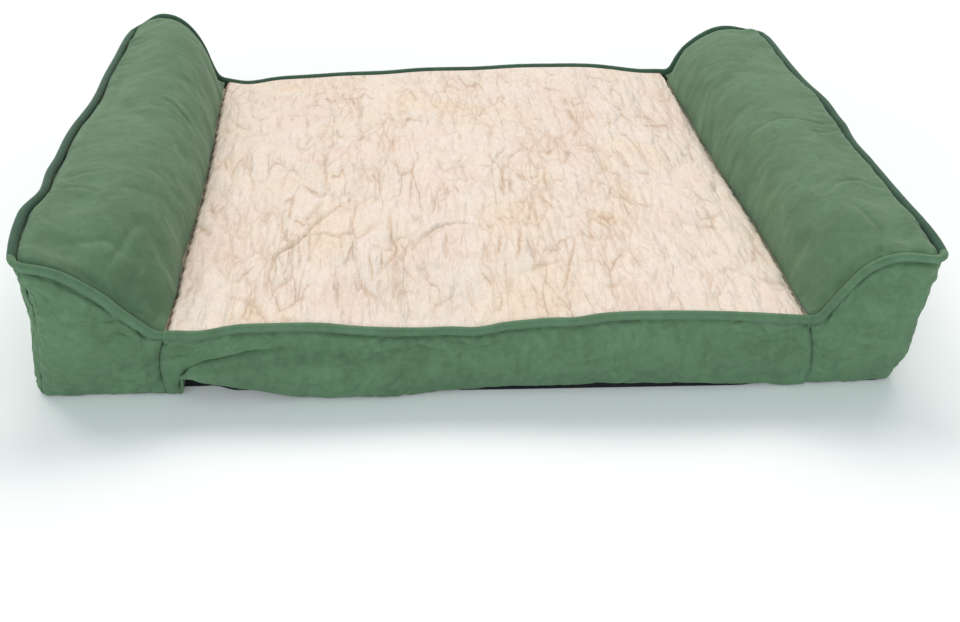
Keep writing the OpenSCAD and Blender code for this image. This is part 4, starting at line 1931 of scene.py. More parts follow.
    def back(self, strip: Strip) -> Grid:
        """Lay out one of the two strips beside the zipper.

        Args:
            strip: Which of the two.

        Returns:
            The points of the middle of its cloth.
        """
        form = self.form
        x = np.linspace(-1, 1, 280) * (form.bolster_x - self.seam_gap)
        up = np.linspace(0, 1, 22)
        if strip is Strip.UPPER:
            low, top = self.slot_high, form.seam_z(x, np.full(x.shape, form.half_d)) - form.edge
            near = mix(self.strip_y, form.half_d, up)
        else:
            low, top = form.panel_z, np.full(x.shape, self.slot_low)
            near = mix(form.half_d, self.strip_y, up)
        lengthwise = 1 - np.abs(x / form.bolster_x) ** 6
        tall = 1 - np.abs(2 * up - 1) ** 2.5
        y = near[None, :] + form.swell_out * lengthwise[:, None] * tall[None, :]
        z = mix(low, top[:, None], up[None, :])
        grid = outward(stacked(x[:, None], y, z), (0.0, 1.0, 0.0))
        puckers = Noise(151 + strip.value).layered(grid[..., 0] / 0.02, grid[..., 2] / 0.03)
        lift = self.pucker * puckers * tall[None, :]
        return grid + normals_of(grid) * lift[..., None]

    def piece(self, name: str, node: str, grid: Grid) -> bpy.types.Object:
        """Turn a panel's points into a finished piece.

        Args:
            name: The piece's name.
            node: The node that it stands for.
            grid: The middle of its cloth.

        Returns:
            The piece.
        """
        cover = cloth_shell(name, self.form.settle(grid), self.form.cloth_t)
        # The panels take the lighter copy of the suede: painted light.
        finished(cover, LIGHTENED_PANEL_SUEDE, node)
        return cover


@dataclass(frozen=True)
class Ring:
    """One ring of a welt.

    Attributes:
        centre: Its centre.
        out: Its outward direction.
        up: Its upward direction.
    """

    centre: np.ndarray
    out: np.ndarray
    up: np.ndarray


@dataclass
class Welting:
    """The covered cord along every upper edge of the bed.

    Attributes:
        form: The bed's shape.
        spacing: Distance between its rings.
        sides: Sides of its round part.
        allowance_h: Depth of its seam allowance.
        allowance_t: Thickness of that.
        allowance_lean: How far the foot of that leans inwards.
        slack: How far its wrap is loose or tight, as a share of its radius.
        twist: How far it is twisted, as a share.
        pulled: How much thinner it is pulled, as a share.
        ABOVE: Straight up.
    """

    form: BedForm
    spacing: float = 0.0024
    sides: int = 16
    allowance_h: float = 0.009
    allowance_t: float = 0.001
    allowance_lean: float = 0.0007
    slack: float = 0.035
    twist: float = 0.022
    pulled: float = 0.015
    ABOVE: ClassVar[np.ndarray] = np.array([0.0, 0.0, 1.0])

    def sweep(self, name: str, node: str, rings: list[Ring], seed: int, finish: Finish) -> bpy.types.Object:
        """Sweep the welt through rings.

        Args:
            name: The piece's name.
            node: The node that it stands for.
            rings: Its rings.
            seed: Picks its puckers.
            finish: Its finish.

        Returns:
            The piece.
        """
        form = self.form
        near = -form.cloth_t / 2 - form.gap
        far = near - self.allowance_t
        low = -form.welt_r - self.allowance_h
        start, stop = math.acos(near / form.welt_r), math.acos(far / form.welt_r)
        angles = np.linspace(-start, 2 * math.pi - stop, self.sides)
        centres = np.array([ring.centre for ring in rings])
        outs = np.array([ring.out for ring in rings])
        ups = np.array([ring.up for ring in rings])
        step = np.linalg.norm(np.diff(centres, axis=0), axis=-1)
        along = np.concatenate([[0.0], np.cumsum(step)])
        wrap = angles[None, :] / (2 * math.pi)
        slack = self.slack * Noise(seed).layered(along[:, None] / 0.018, wrap * 3.0, 3)
        twist = self.twist * Noise(seed + 1).smooth(along[:, None] / 0.005 + wrap * 4.0, wrap * 2.0)
        radius = form.welt_r * (1.0 + slack + twist - self.pulled)
        across, upward = radius * np.cos(angles), radius * np.sin(angles)
        count = len(rings)
        left = np.tile([near - self.allowance_lean, far - self.allowance_lean], (count, 1))
        down = np.full((count, 2), low)
        across = np.concatenate([left[:, :1], across, left[:, 1:]], axis=1)
        upward = np.concatenate([down[:, :1], upward, down[:, 1:]], axis=1)
        points = centres[:, None] + outs[:, None] * across[..., None] + ups[:, None] * upward[..., None]
        points = form.settle(points)
        sides = points.shape[1]
        index = np.arange(count * sides).reshape(count, sides)
        faces = ring_faces(index)
        caps = []
        for ring, turned in ((index[0], False), (index[-1], True)):
            order = ring[::-1] if turned else ring
            for k in range(0, sides // 2 - 1):
                caps.append([order[k], order[sides - 1 - k], order[sides - 2 - k], order[k + 1]])
        cover = new_piece(name, points.reshape(-1, 3), np.concatenate([faces, np.array(caps)]), len(caps))
        face_out(cover)
        finished(cover, finish, node)
        return cover

    def upright(self, x: np.ndarray, y: np.ndarray, z: np.ndarray,
                out: tuple[float, float, float]) -> list[Ring]:
        """Lay out a run whose rings all stand upright and face one way.

        Args:
            x: The X of its rings' centres.
            y: Their Y.
            z: Their height.
            out: Its outward direction.

        Returns:
            Its rings.
        """
        return [Ring(np.array(centre), np.array(out), self.ABOVE) for centre in zip(x, y, z)]

    def level(self, end: End) -> list[Ring]:
        """Lay out the run along the front or the back.

        Args:
            end: Which of the two.

        Returns:
            Its rings.
        """
        form = self.form
        half = form.bolster_x
        x = np.linspace(-half, half, int(2 * half / self.spacing))
        y = np.full(x.shape, end.value * form.half_d)
        return self.upright(x, y, form.seam_z(x, y), (0.0, end.value, 0.0))

    def rising(self, side: Side, end: End) -> list[Ring]:
        """Lay out the run up the end of an arm and round its corner.

        Args:
            side: The arm.
            end: Its end.

        Returns:
            Its rings.
        """
        form = self.form
        turn = np.array([side.value, -end.value, 1.0])
        share = np.linspace(0, 1, int(form.end_curve.length / self.spacing))
        xs, zs, headings = form.end_curve.at(share)
        rings = [
            Ring(
                np.array([x, -form.half_d, z]) * turn,
                np.array([0.0, -1.0, 0.0]) * turn,
                np.array([-math.sin(h), 0.0, math.cos(h)]) * turn,
            )
            for x, z, h in zip(xs, zs, headings)
        ]
        middle = np.array([form.half_top - form.corner_r, -form.flat_y, form.corner_z])
        for angle in np.radians(np.linspace(9, 90, 10)):
            spin = np.array([math.sin(angle), -math.cos(angle), 0.0])
            rings.append(Ring((middle + form.corner_r * spin) * turn, spin * turn, self.ABOVE))
        return rings

    def side_run(self, side: Side) -> list[Ring]:
        """Lay out the run along an arm's outer edge.

        Args:
            side: The arm.

        Returns:
            Its rings.
        """
        form = self.form
        y = np.linspace(-form.flat_y, form.flat_y, int(2 * form.flat_y / self.spacing))
        x = np.full(y.shape, side.value * form.half_top)
        return self.upright(x, y, form.side_z(y), (side.value, 0.0, 0.0))

    def build(self) -> list[bpy.types.Object]:
        """Make all the runs.

        Returns:
            The pieces.
        """
        pieces = []
        for end in End:
            place = end.name.lower()
            # The back run and its end runs take the darkened copy of the piping suede: painted shade.
            finish = WELT_SUEDE if end is End.FRONT else SHADED_WELT_SUEDE
            seed, run = 201 + end.value, self.level(end)
            pieces.append(self.sweep(f"{place}_piping", f"{place}_welt", run, seed, finish))
            for side in Side:
                name, node = (f"{place}_end_{what}_{side.name.lower()}" for what in ("piping", "welt"))
                seed, run = 211 + 4 * end.value + 2 * side.value, self.rising(side, end)
                pieces.append(self.sweep(name, node, run, seed, finish))
        for side in Side:
            name = side.name.lower()
            seed, run = 231 + side.value, self.side_run(side)
            # The side runs take the darkened copy of the piping suede: painted shade.
            pieces.append(self.sweep(f"side_piping_{name}", f"side_welt_{name}", run, seed, SHADED_WELT_SUEDE))
        return pieces


@dataclass(frozen=True)
class Station:
    """One ring of the slab or of the cloth below it.

    Attributes:
        share: How far out it lies, from 0 in the middle to 1 at the rim.
        rise: How high it lies, from 0 at the foot to 1 at the top.
        fold_rise: How much higher it lies above the front panel's fold.
    """

    share: float
    rise: float
    fold_rise: float = 0.0


FOAM_STATIONS = (
    Station(0.0, 1.0),
    Station(0.35, 1.0),
    Station(0.7, 1.0),
    Station(0.9, 1.0),
    Station(0.985, 1.0),
    Station(0.998, 0.985),
    Station(1.0, 0.93),
    Station(1.0, 0.5),
    Station(1.0, 0.07),
    Station(0.998, 0.015),
    Station(0.985, 0.0),
    Station(0.9, 0.0),
    Station(0.7, 0.0),
    Station(0.35, 0.0),
    Station(0.0, 0.0),
)
UNDERSIDE_STATIONS = (
    Station(0.0, 0.0),
    Station(0.3, 0.0),
    Station(0.6, 0.0),
    Station(0.85, 0.0),
    Station(0.96, 0.0, 0.0035),
    Station(0.99, 0.0, 0.042),
    Station(1.0, 0.05, 0.0875),
    Station(1.0, 0.6),
    Station(1.0, 1.0),
    Station(0.9965, 1.0),
    Station(0.9965, 0.09, 0.0875),
    Station(0.99, 0.078, 0.049),
    Station(0.96, 0.078, 0.0035),
    Station(0.85, 0.078),
    Station(0.6, 0.078),
    Station(0.3, 0.078),
    Station(0.0, 0.078),
)


@dataclass
class Core:
    """The foam slab and the underside cloth below it.

    Attributes:
        form: The bed's shape.
        cloth_t: Thickness of the underside cloth.
        hem: How far the underside cloth turns up behind the panels.
        inset: How far its turned-up edge lies in from its cut size.
        front_inset: The same under the middle of the front, where it shows.
        ease: How much rounder its corners are than the panels' corners.
        hollow_d: How far foam and cloth draw back behind the front panel's fold.
        foam_r: Radius of the slab's corners.
        uneven: How far the slab's cut faces stray.
        ragged: How far the turned-up edge's height strays, as a share.
        hollow_lift: How much higher that edge stands, for each metre that it draws back.
    """

    form: BedForm
    cloth_t: float = 0.0015
    hem: float = 0.020
    inset: float = 0.0056
    front_inset: float = 0.0010
    ease: float = 0.012
    hollow_d: float = 0.011
    foam_r: float = 0.02
    uneven: float = 0.0006
    ragged: float = 0.25
    hollow_lift: float = 60.0

    def rounded(self, half_x: float, half_y: float, radius: float, share: np.ndarray,
                turn: np.ndarray) -> np.ndarray:
        """Points of a rounded rectangle, from its middle outwards.

        Args:
            half_x: Half its width.
            half_y: Half its depth.
            radius: Its corners' radius.
            share: How far out, from 0 to 1.
            turn: Angles round it.

        Returns:
            The plan points.
        """
        cos, sin = np.cos(turn), np.sin(turn)
        straight_x, straight_y = half_x - radius, half_y - radius
        power = 1.0 / np.maximum(np.abs(cos) / half_x, np.abs(sin) / half_y)
        x, y = power * cos, power * sin
        past_x, past_y = np.abs(x) - straight_x, np.abs(y) - straight_y
        corner = (past_x > 0) & (past_y > 0)
        length = np.where(corner, np.hypot(past_x, past_y), 1.0)
        ease = np.where(corner, radius / length, 1.0)
        x = np.where(corner, np.sign(x) * (straight_x + past_x * ease), x)
        y = np.where(corner, np.sign(y) * (straight_y + past_y * ease), y)
        return stacked(x, y) * share[..., None]

    def build(self) -> list[bpy.types.Object]:
        """Make the two pieces.

        Returns:
            The pieces.
        """
        return [self.foam(), self.underside()]

    def foam(self) -> bpy.types.Object:
        """Make the foam slab, with its edges a little rounded and its cut faces not quite flat.

        Returns:
            The piece.
        """
        low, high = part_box("foam_slab")
        half_x, half_y = high.x, high.y
        turns = np.linspace(0, 2 * math.pi, 361)[None, :]
        share, rise, _ = np.array([astuple(station) for station in FOAM_STATIONS]).T[..., None]
        plan = self.rounded(half_x, half_y, self.foam_r, *np.broadcast_arrays(share, turns))
        z = np.broadcast_to(mix(low.z, high.z, rise), plan.shape[:2])
        uneven = self.uneven * Noise(301).layered(plan[..., 0] / 0.09, plan[..., 1] / 0.09 + z / 0.02)
        z = np.clip(z - np.abs(uneven) * np.where(rise > 0.5, 1, -1), low.z, high.z)
        plan[..., 1] += self.hollow(plan, share) * (1 - ramp(0.024, 0.05, z))
        points = self.form.settle(np.concatenate([plan, z[..., None]], axis=-1)[:, :-1])
        return self.lathe("foam_block", points, FOAM, "foam_slab")

    def hollow(self, plan: np.ndarray, share: np.ndarray) -> np.ndarray:
        """How far the rim draws back behind the front panel's fold, where its hem lifts off the floor.

        Args:
            plan: Plan points.
            share: How far out they are, from 0 to 1.

        Returns:
            The distances.
        """
        x, front = plan[..., 0], plan[..., 1] < 0
        behind = ramp(-0.335, -0.322, x) * (1 - ramp(-0.295, -0.265, x))
        return self.hollow_d * behind * ramp(0.8, 0.97, share) * front

    def lathe(self, name: str, rings: Grid, finish: Finish, node: str) -> bpy.types.Object:
        """Close a stack of rings whose first and last rings are single points.

        Args:
            name: The piece's name.
            rings: The rings, from the top middle to the bottom middle.
            finish: Its finish.
            node: The node that it stands for.

        Returns:
            The piece.
        """
        count, around = rings.shape[:2]
        body = rings[1:-1].reshape(-1, 3)
        index = np.arange(len(body)).reshape(count - 2, around)
        beside = np.roll(index, -1, axis=1)
        faces = np.stack([index[:-1], index[1:], beside[1:], beside[:-1]], axis=-1).reshape(-1, 4)
        points = np.concatenate([body, rings[0, :1], rings[-1, :1]])
        upper = fan_faces(len(body), index[0])
        lower = fan_faces(len(body) + 1, index[-1])[:, [0, 3, 2, 1]]
        piece = new_piece(name, points, np.concatenate([faces, upper, lower]))
        face_out(piece)
        finished(piece, finish, node)
        return piece

    def underside(self) -> bpy.types.Object:
        """Make the underside cloth, which turns up a little behind the panels.

        Returns:
            The piece.
        """
        form, t = self.form, self.cloth_t
        half_x, half_y, radius = form.half_base + t / 2, form.half_d + t / 2, form.corner_r + self.ease
        turns = np.linspace(0, 2 * math.pi, 721)[None, :]
        share, rise, fold_rise = np.array([astuple(station) for station in UNDERSIDE_STATIONS]).T[..., None]
        spots = np.broadcast_arrays(share, turns)
        plan = self.rounded(half_x - self.inset, half_y - self.inset, radius, *spots)
        x, front = plan[..., 0], plan[..., 1] < 0
        above_fold = ramp(-0.305, -0.275, x) * (1 - ramp(-0.2, -0.12, x)) * front
        z = (rise + fold_rise * above_fold) * self.hem
        hollow = self.hollow(plan, share)
        plan[..., 1] += hollow
        at_front = ramp(-0.10, -0.02, x) * (1 - ramp(0.27, 0.31, x)) * front * (share > 0.98)
        plan[..., 1] -= (self.inset - self.front_inset) * at_front
        ragged = 1 - self.ragged + self.ragged * Noise(311).layered(turns * 9.0, turns * 0.0)
        z = np.where(rise >= 0.6, z * (ragged + self.hollow_lift * hollow), z)
        points = np.concatenate([plan, z[..., None]], axis=-1)[::-1, :-1]
        piece = self.lathe("underside_cover", points, UNDERSIDE, "base_panel")
        return piece


@dataclass
class Zipper:
    """The zipper along the back, whose teeth, stops, slider and pull are dressed as they are.

    Attributes:
        form: The bed's shape.
        rib: Distance between the tape's woven ribs.
        rib_d: How far they stand out.
        spare: How much thinner the tape is on each side than its solid.
    """

    form: BedForm
    rib: float = 0.0012
    rib_d: float = 0.00008
    spare: float = 0.0001

    def build(self) -> list[bpy.types.Object]:
        """Dress the zipper.

        Returns:
            The new pieces, which are its two tapes.
        """
        nodes = frame["nodes"]
        for name in ("zipper_teeth_upper", "zipper_teeth_lower"):
            TEETH.dress(nodes[name])
        for name in ("zipper_top_stops", "zipper_bottom_stop", "zipper_slider", "zipper_pull"):
            METAL.dress(nodes[name])
        return [self.tape(strip) for strip in Strip]

    def tape(self, strip: Strip) -> bpy.types.Object:
        """Weave one tape, with a thin ribbed body.

        Args:
            strip: Which strip it is sewn to.

        Returns:
            The piece.
        """
        which = strip.name.lower()
        node = "zipper_tape_" + which
        low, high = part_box(node)
        x = np.linspace(low.x, high.x, int((high.x - low.x) / self.rib))[:, None]
        z = np.linspace(low.z, high.z, 13)[None, :]
        middle = outward(stacked(x, (low.y + high.y) / 2, z), (0.0, 1.0, 0.0))
        ribs = self.rib_d * np.cos(np.arange(len(x)) * math.pi)[:, None]
        half = (high.y - low.y) / 2 - self.spare + ribs
        shift = np.zeros(middle.shape)
        shift[..., 1] = half
        piece = shell("tape_" + which, middle + shift, middle - shift)
        finished(piece, TAPE, node)
        return piece


@dataclass
class Studio:
    """The floor, the lights and the camera.

    Attributes:
        eye: Where the camera is.
        pitch: How far it looks down, in radians.
        yaw: How far it looks to the right.
        roll: How far it is tilted.
        lens: Its focal length in millimetres.
        sensor: The width of its sensor in millimetres.
    """

    eye: tuple[float, float, float] = (-0.1334, -1.4109, 0.7624)
    pitch: float = 0.5522
    yaw: float = 0.1118
    roll: float = 0.0468
    lens: float = 46.05
    sensor: float = 36.0

    def camera(self) -> None:
        """Put the camera where the photograph was taken from."""
        data = bpy.data.cameras.new("camera")
        data.lens = self.lens
        data.sensor_width = self.sensor
        camera = bpy.data.objects.new("camera", data)
        camera.matrix_world = (
            Matrix.Translation(self.eye)
            @ Matrix.Rotation(-self.yaw, 4, "Z")
            @ Matrix.Rotation(math.pi / 2 - self.pitch, 4, "X")
            @ Matrix.Rotation(self.roll, 4, "Z")
        )
        bpy.context.scene.collection.objects.link(camera)
        bpy.context.scene.camera = camera

    def lamp(self, name: str, bearing: float, height: float, spread: float, power: float,
             colour: tuple[float, float, float]) -> None:
        """Light the bed evenly from one side with a large soft source.

        Args:
            name: Its name.
            bearing: Where it stands, in degrees from straight behind towards the right.
            height: How high it stands, in degrees above the floor.
            spread: How wide it looks, in degrees.
            power: Its power in watts a square metre.
            colour: Its colour.
        """
        data = bpy.data.lights.new(name, "SUN")
        data.angle = math.radians(spread)
        data.energy = power
        data.color = colour
        lamp = bpy.data.objects.new(name, data)
        turn, rise = math.radians(bearing), math.radians(height)
        away = Vector((math.sin(turn) * math.cos(rise), math.cos(turn) * math.cos(rise), math.sin(rise)))
        lamp.location = 3.0 * away
        lamp.rotation_euler = away.to_track_quat("Z", "Y").to_euler()
        bpy.context.scene.collection.objects.link(lamp)

    def floor(self) -> None:
        """Lay a white floor that looks white to the camera and keeps the bed's shadow."""
        half_size = 12.0
        steps = np.linspace(-half_size, half_size, 9)
        grid = stacked(steps[:, None], steps[None, :], 0.0)
        floor = new_piece("studio_floor", grid.reshape(-1, 3), grid_faces(len(steps), len(steps)))
        material = bpy.data.materials.new("studio_white")
        material.use_nodes = True
        nodes = Nodes(material.node_tree)
        shader = material.node_tree.nodes["Principled BSDF"]
        tone = nodes.ramp(nodes.noise(0.6, 2.0), (0.3, (0.86, 0.87, 0.88, 1)), (0.7, (0.88, 0.88, 0.89, 1)))
        nodes.feed(shader, {"Base Color": tone, "Roughness": 0.9, "Specular IOR Level": 0.0})
        matt = shader.outputs[0]
        rays = nodes.add("ShaderNodeLightPath").outputs
        seen = nodes.join("ShaderNodeMath", rays["Is Camera Ray"], rays["Is Glossy Ray"], operation="MAXIMUM")
        glow = nodes.join("ShaderNodeEmission", (0.97, 0.99, 1.0, 1.0), 0.12)
        lit = nodes.join("ShaderNodeMixShader", seen, matt, nodes.join("ShaderNodeAddShader", matt, glow))
        nodes.feed(material.node_tree.nodes["Material Output"], {"Surface": lit})
        floor.data.materials.append(material)

    def sky(self) -> None:
        """Surround the studio with an even light that shows as white."""
        world = bpy.data.worlds.new("studio_sky")
        bpy.context.scene.world = world
        world.use_nodes = True
        nodes = Nodes(world.node_tree)
        world.node_tree.nodes.clear()
        seen = nodes.add("ShaderNodeLightPath").outputs["Is Camera Ray"]
        light = nodes.join("ShaderNodeBackground", (0.86, 0.97, 1.0, 1.0), 0.42)
        shown = nodes.join("ShaderNodeBackground", (1.0, 1.0, 1.0, 1.0), 1.0)
        nodes.add("ShaderNodeOutputWorld", Surface=nodes.join("ShaderNodeMixShader", seen, light, shown))

    def build(self) -> None:
        """Set the studio up."""
        bpy.context.scene.view_settings.view_transform = "Standard"
        self.camera()
        self.floor()
        self.sky()
        for name, bearing in (("back_light_left", -36.0), ("back_light", -2.0), ("back_light_right", 30.0)):
            self.lamp(name, bearing, 44.0, 24.0, 0.825, (1.0, 0.925, 0.885))
        self.lamp("front_fill", 195.0, 20.0, 60.0, 1.38, (0.82, 1.0, 0.96))


TUGS = (
    Tug("front seam at the left", (-0.345, -0.343, 0.086), (0.0, 0.0, -0.0056), (0.04, 0.1, 0.03)),
    Tug("front edge left of the middle", (-0.23, -0.343, 0.09), (0.0, 0.0, -0.0047), (0.07, 0.12, 0.04)),
    Tug("front edge at the dip", (-0.075, -0.343, 0.09), (0.0, 0.0, -0.0145), (0.08, 0.12, 0.04)),
    Tug("front edge by the middle", (0.03, -0.343, 0.09), (0.0, 0.0, -0.0053), (0.06, 0.12, 0.04)),
    Tug("front edge at the right", (0.2, -0.343, 0.09), (0.0, 0.0, 0.0036), (0.11, 0.12, 0.04)),
    Tug("front seam at the right", (0.345, -0.343, 0.086), (0.0, 0.0, -0.0019), (0.05, 0.1, 0.03)),
    Tug("left arm, front end", (-0.4, -0.343, 0.14), (-0.003, 0.0, -0.0253), (0.045, 0.12, 0.05)),
    Tug("left arm, front corner", (-0.475, -0.29, 0.165), (-0.0098, 0.0, 0.0052), (0.045, 0.07, 0.07)),
    Tug("left arm, pinch", (-0.475, -0.195, 0.17), (0.0006, 0.0, -0.0003), (0.04, 0.022, 0.07)),
    Tug("left arm, end slope", (-0.365, -0.343, 0.11), (-0.001, 0.0, -0.0068), (0.025, 0.1, 0.035)),
    Tug("left arm, beyond the pinch", (-0.475, -0.06, 0.17), (-0.0027, 0.0, 0.0015), (0.05, 0.08, 0.07)),
    Tug("left arm, middle", (-0.475, 0.08, 0.17), (0.0062, 0.0, -0.0035), (0.06, 0.09, 0.07)),
    Tug("left arm, toward the back", (-0.475, 0.22, 0.17), (0.0063, 0.0, -0.0035), (0.06, 0.08, 0.07)),
    Tug("left arm, back corner", (-0.465, 0.343, 0.165), (0.0089, 0.0, -0.0024), (0.04, 0.09, 0.07)),
    Tug("left arm, back crown", (-0.4, 0.343, 0.155), (0.0081, 0.0, 0.0189), (0.04, 0.11, 0.06)),
    Tug("left arm, back slope", (-0.368, 0.343, 0.125), (0.0059, 0.0, 0.0046), (0.022, 0.09, 0.035)),
    Tug("left arm, back seam", (-0.338, 0.343, 0.088), (0.0015, 0.0, 0.0004), (0.024, 0.08, 0.03)),
    Tug("back edge at the left", (-0.22, 0.343, 0.1), (0.0, 0.0, -0.0077), (0.1, 0.14, 0.032)),
    Tug("back edge at the middle", (0.0, 0.343, 0.1), (0.0, 0.0, -0.0008), (0.12, 0.14, 0.032)),
    Tug("back edge at the right", (0.22, 0.343, 0.1), (0.0, 0.0, 0.0126), (0.11, 0.14, 0.032)),
    Tug("right arm, back seam", (0.345, 0.343, 0.105), (-0.0086, 0.0, 0.0119), (0.045, 0.1, 0.04)),
    Tug("right arm, back slope", (0.372, 0.343, 0.125), (-0.0062, 0.0, 0.0056), (0.025, 0.09, 0.035)),
    Tug("right arm, back crown", (0.405, 0.343, 0.155), (-0.0074, 0.0, 0.0102), (0.04, 0.11, 0.06)),
    Tug("right arm, back corner", (0.469, 0.343, 0.16), (0.0024, 0.0, 0.0051), (0.04, 0.08, 0.07)),
    Tug("right arm, bulge by the pinch", (0.475, 0.05, 0.17), (0.0037, 0.0, 0.0037), (0.05, 0.06, 0.07)),
    Tug("right arm, pinch", (0.475, -0.02, 0.17), (0.0014, 0.0, 0.0014), (0.05, 0.022, 0.07)),
    Tug("right arm, front corner", (0.475, -0.32, 0.165), (0.0058, 0.0, 0.0003), (0.04, 0.07, 0.06)),
    Tug("front edge, first dip", (-0.3, -0.343, 0.09), (0.0, 0.0, -0.008), (0.03, 0.1, 0.04)),
    Tug("front edge, second dip", (-0.14, -0.343, 0.09), (0.0, 0.0, -0.0027), (0.035, 0.1, 0.04)),
    Tug("front edge, third dip", (-0.015, -0.343, 0.09), (0.0, 0.0, -0.004), (0.022, 0.09, 0.04)),
    Tug("front edge, fourth dip", (0.088, -0.343, 0.09), (0.0, 0.0, -0.0032), (0.022, 0.09, 0.04)),
    Tug("back edge by the left seam", (-0.3, 0.343, 0.095), (0.0, 0.0, -0.0076), (0.035, 0.1, 0.032)),
    Tug("back edge left of the middle", (-0.1, 0.343, 0.1), (0.0, 0.0, -0.0037), (0.05, 0.12, 0.032)),
    Tug("back edge right of the middle", (0.1, 0.343, 0.1), (0.0, 0.0, 0.0027), (0.05, 0.12, 0.032)),
    Tug("left arm, before the kink", (-0.475, -0.245, 0.17), (-0.0032, 0.0, 0.0016), (0.05, 0.03, 0.07)),
    Tug("left arm, after the kink", (-0.475, -0.155, 0.17), (-0.0027, 0.0, 0.0015), (0.05, 0.03, 0.07)),
    Tug("left arm, back crown corner", (-0.44, 0.343, 0.165), (0.0023, 0.0, 0.0101), (0.025, 0.07, 0.06)),
    Tug("right arm, before the pinch", (0.475, -0.075, 0.17), (-0.0007, 0.0, -0.0008), (0.05, 0.03, 0.07)),
    Tug("left arm, end crown", (-0.435, -0.343, 0.15), (0.0, 0.0, 0.0013), (0.03, 0.1, 0.045)),
    Tug("left arm, foot", (-0.46, -0.32, 0.0), (-0.0135, 0.0, 0.0), (0.05, 0.09, 0.045)),
    Tug("left arm, below the corner", (-0.475, -0.33, 0.118), (0.005, 0.0, 0.0), (0.04, 0.06, 0.035)),
    Tug("right arm, foot", (0.457, -0.343, 0.0), (-0.005, 0.004, 0.0), (0.04, 0.05, 0.025)),
    Tug("right upright seam", (0.335, -0.343, 0.025), (0.0145, 0.0, 0.0), (0.035, 0.04, 0.045)),
    Tug("left upright seam", (-0.335, -0.343, 0.04), (-0.0065, 0.0, 0.0), (0.03, 0.04, 0.035)),
    Tug("left quilt seam", (-0.335, 0.0, 0.095), (0.0085, 0.0, 0.0), (0.045, 0.26, 0.045)),
    Tug("right quilt seam", (0.335, -0.18, 0.09), (0.006, 0.0, 0.0), (0.05, 0.17, 0.05)),
)


LEFT_CREASES = (
    Crease(((0.452, -0.205), (0.43, -0.200), (0.405, -0.215)), 0.0016, 0.004),
    Crease(((0.455, -0.185), (0.435, -0.170), (0.41, -0.168)), 0.0014, 0.004),
    Crease(((0.395, -0.325), (0.378, -0.290), (0.365, -0.245)), 0.0018, 0.0035),
    Crease(((0.372, -0.330), (0.362, -0.300), (0.352, -0.27)), 0.0014, 0.003),
    Crease(((0.425, -0.300), (0.39, -0.285), (0.36, -0.292)), 0.0014, 0.005),
    Crease(((0.338, 0.03), (0.355, 0.045), (0.38, 0.05)), 0.0016, 0.004),
)
RIGHT_CREASES = (
    Crease(((0.463, -0.036), (0.43, -0.030), (0.39, -0.014), (0.355, -0.018)), 0.0020, 0.004),
    Crease(((0.463, -0.044), (0.44, -0.056), (0.41, -0.060)), 0.0015, 0.0035),
    Crease(((0.463, -0.028), (0.448, 0.0), (0.43, 0.02)), 0.0013, 0.0035),
    Crease(((0.455, -0.218), (0.429, -0.192), (0.405, -0.196), (0.378, -0.224)), 0.0026, 0.0042, 0.9),
    Crease(((0.409, -0.334), (0.414, -0.300), (0.402, -0.255)), 0.0034, 0.0035, 0.9),
    Crease(((0.452, -0.335), (0.456, -0.312), (0.455, -0.285)), 0.0035, 0.0045, 0.4),
)
FRONT_CREASES = (
    Crease(((-0.272, 0.062), (-0.256, 0.068), (-0.238, 0.073)), 0.0013, 0.0022),
    Crease(((0.012, 0.066), (-0.004, 0.052), (-0.02, 0.036)), 0.0012, 0.0030),
    Crease(((0.275, 0.055), (0.255, 0.048), (0.235, 0.040)), 0.0020, 0.0034),
    Crease(((-0.464, 0.116), (-0.456, 0.106), (-0.448, 0.096)), 0.0022, 0.0030),
    Crease(((0.338, 0.052), (0.352, 0.049), (0.368, 0.050)), 0.0012, 0.0022),
    Crease(((0.340, 0.040), (0.353, 0.0365), (0.368, 0.038), (0.386, 0.030)), 0.0020, 0.0026),
    Crease(((0.341, 0.026), (0.356, 0.022), (0.374, 0.024)), 0.0018, 0.0026),
    Crease(((0.368, 0.062), (0.396, 0.072), (0.425, 0.083)), 0.0018, 0.0040),
    Crease(((0.420, 0.040), (0.405, 0.052), (0.384, 0.058)), 0.0018, 0.0040),
    Crease(((0.195, 0.049), (0.175, 0.040), (0.157, 0.032)), 0.0020, 0.0034),
    Crease(((0.150, 0.027), (0.139, 0.019), (0.133, 0.010)), 0.0018, 0.0030),
    Crease(((0.282, 0.034), (0.263, 0.026), (0.255, 0.018), (0.254, 0.008)), 0.0022, 0.0030),
    Crease(((0.318, 0.068), (0.300, 0.062), (0.286, 0.060)), 0.0016, 0.0030),
    Crease(((0.085, 0.052), (0.066, 0.044), (0.052, 0.030)), 0.0016, 0.0034),
    Crease(((-0.458, 0.026), (-0.447, 0.019), (-0.434, 0.017)), 0.0018, 0.0030),
    Crease(((-0.396, 0.064), (-0.380, 0.052), (-0.356, 0.046)), 0.0016, 0.0040),
)
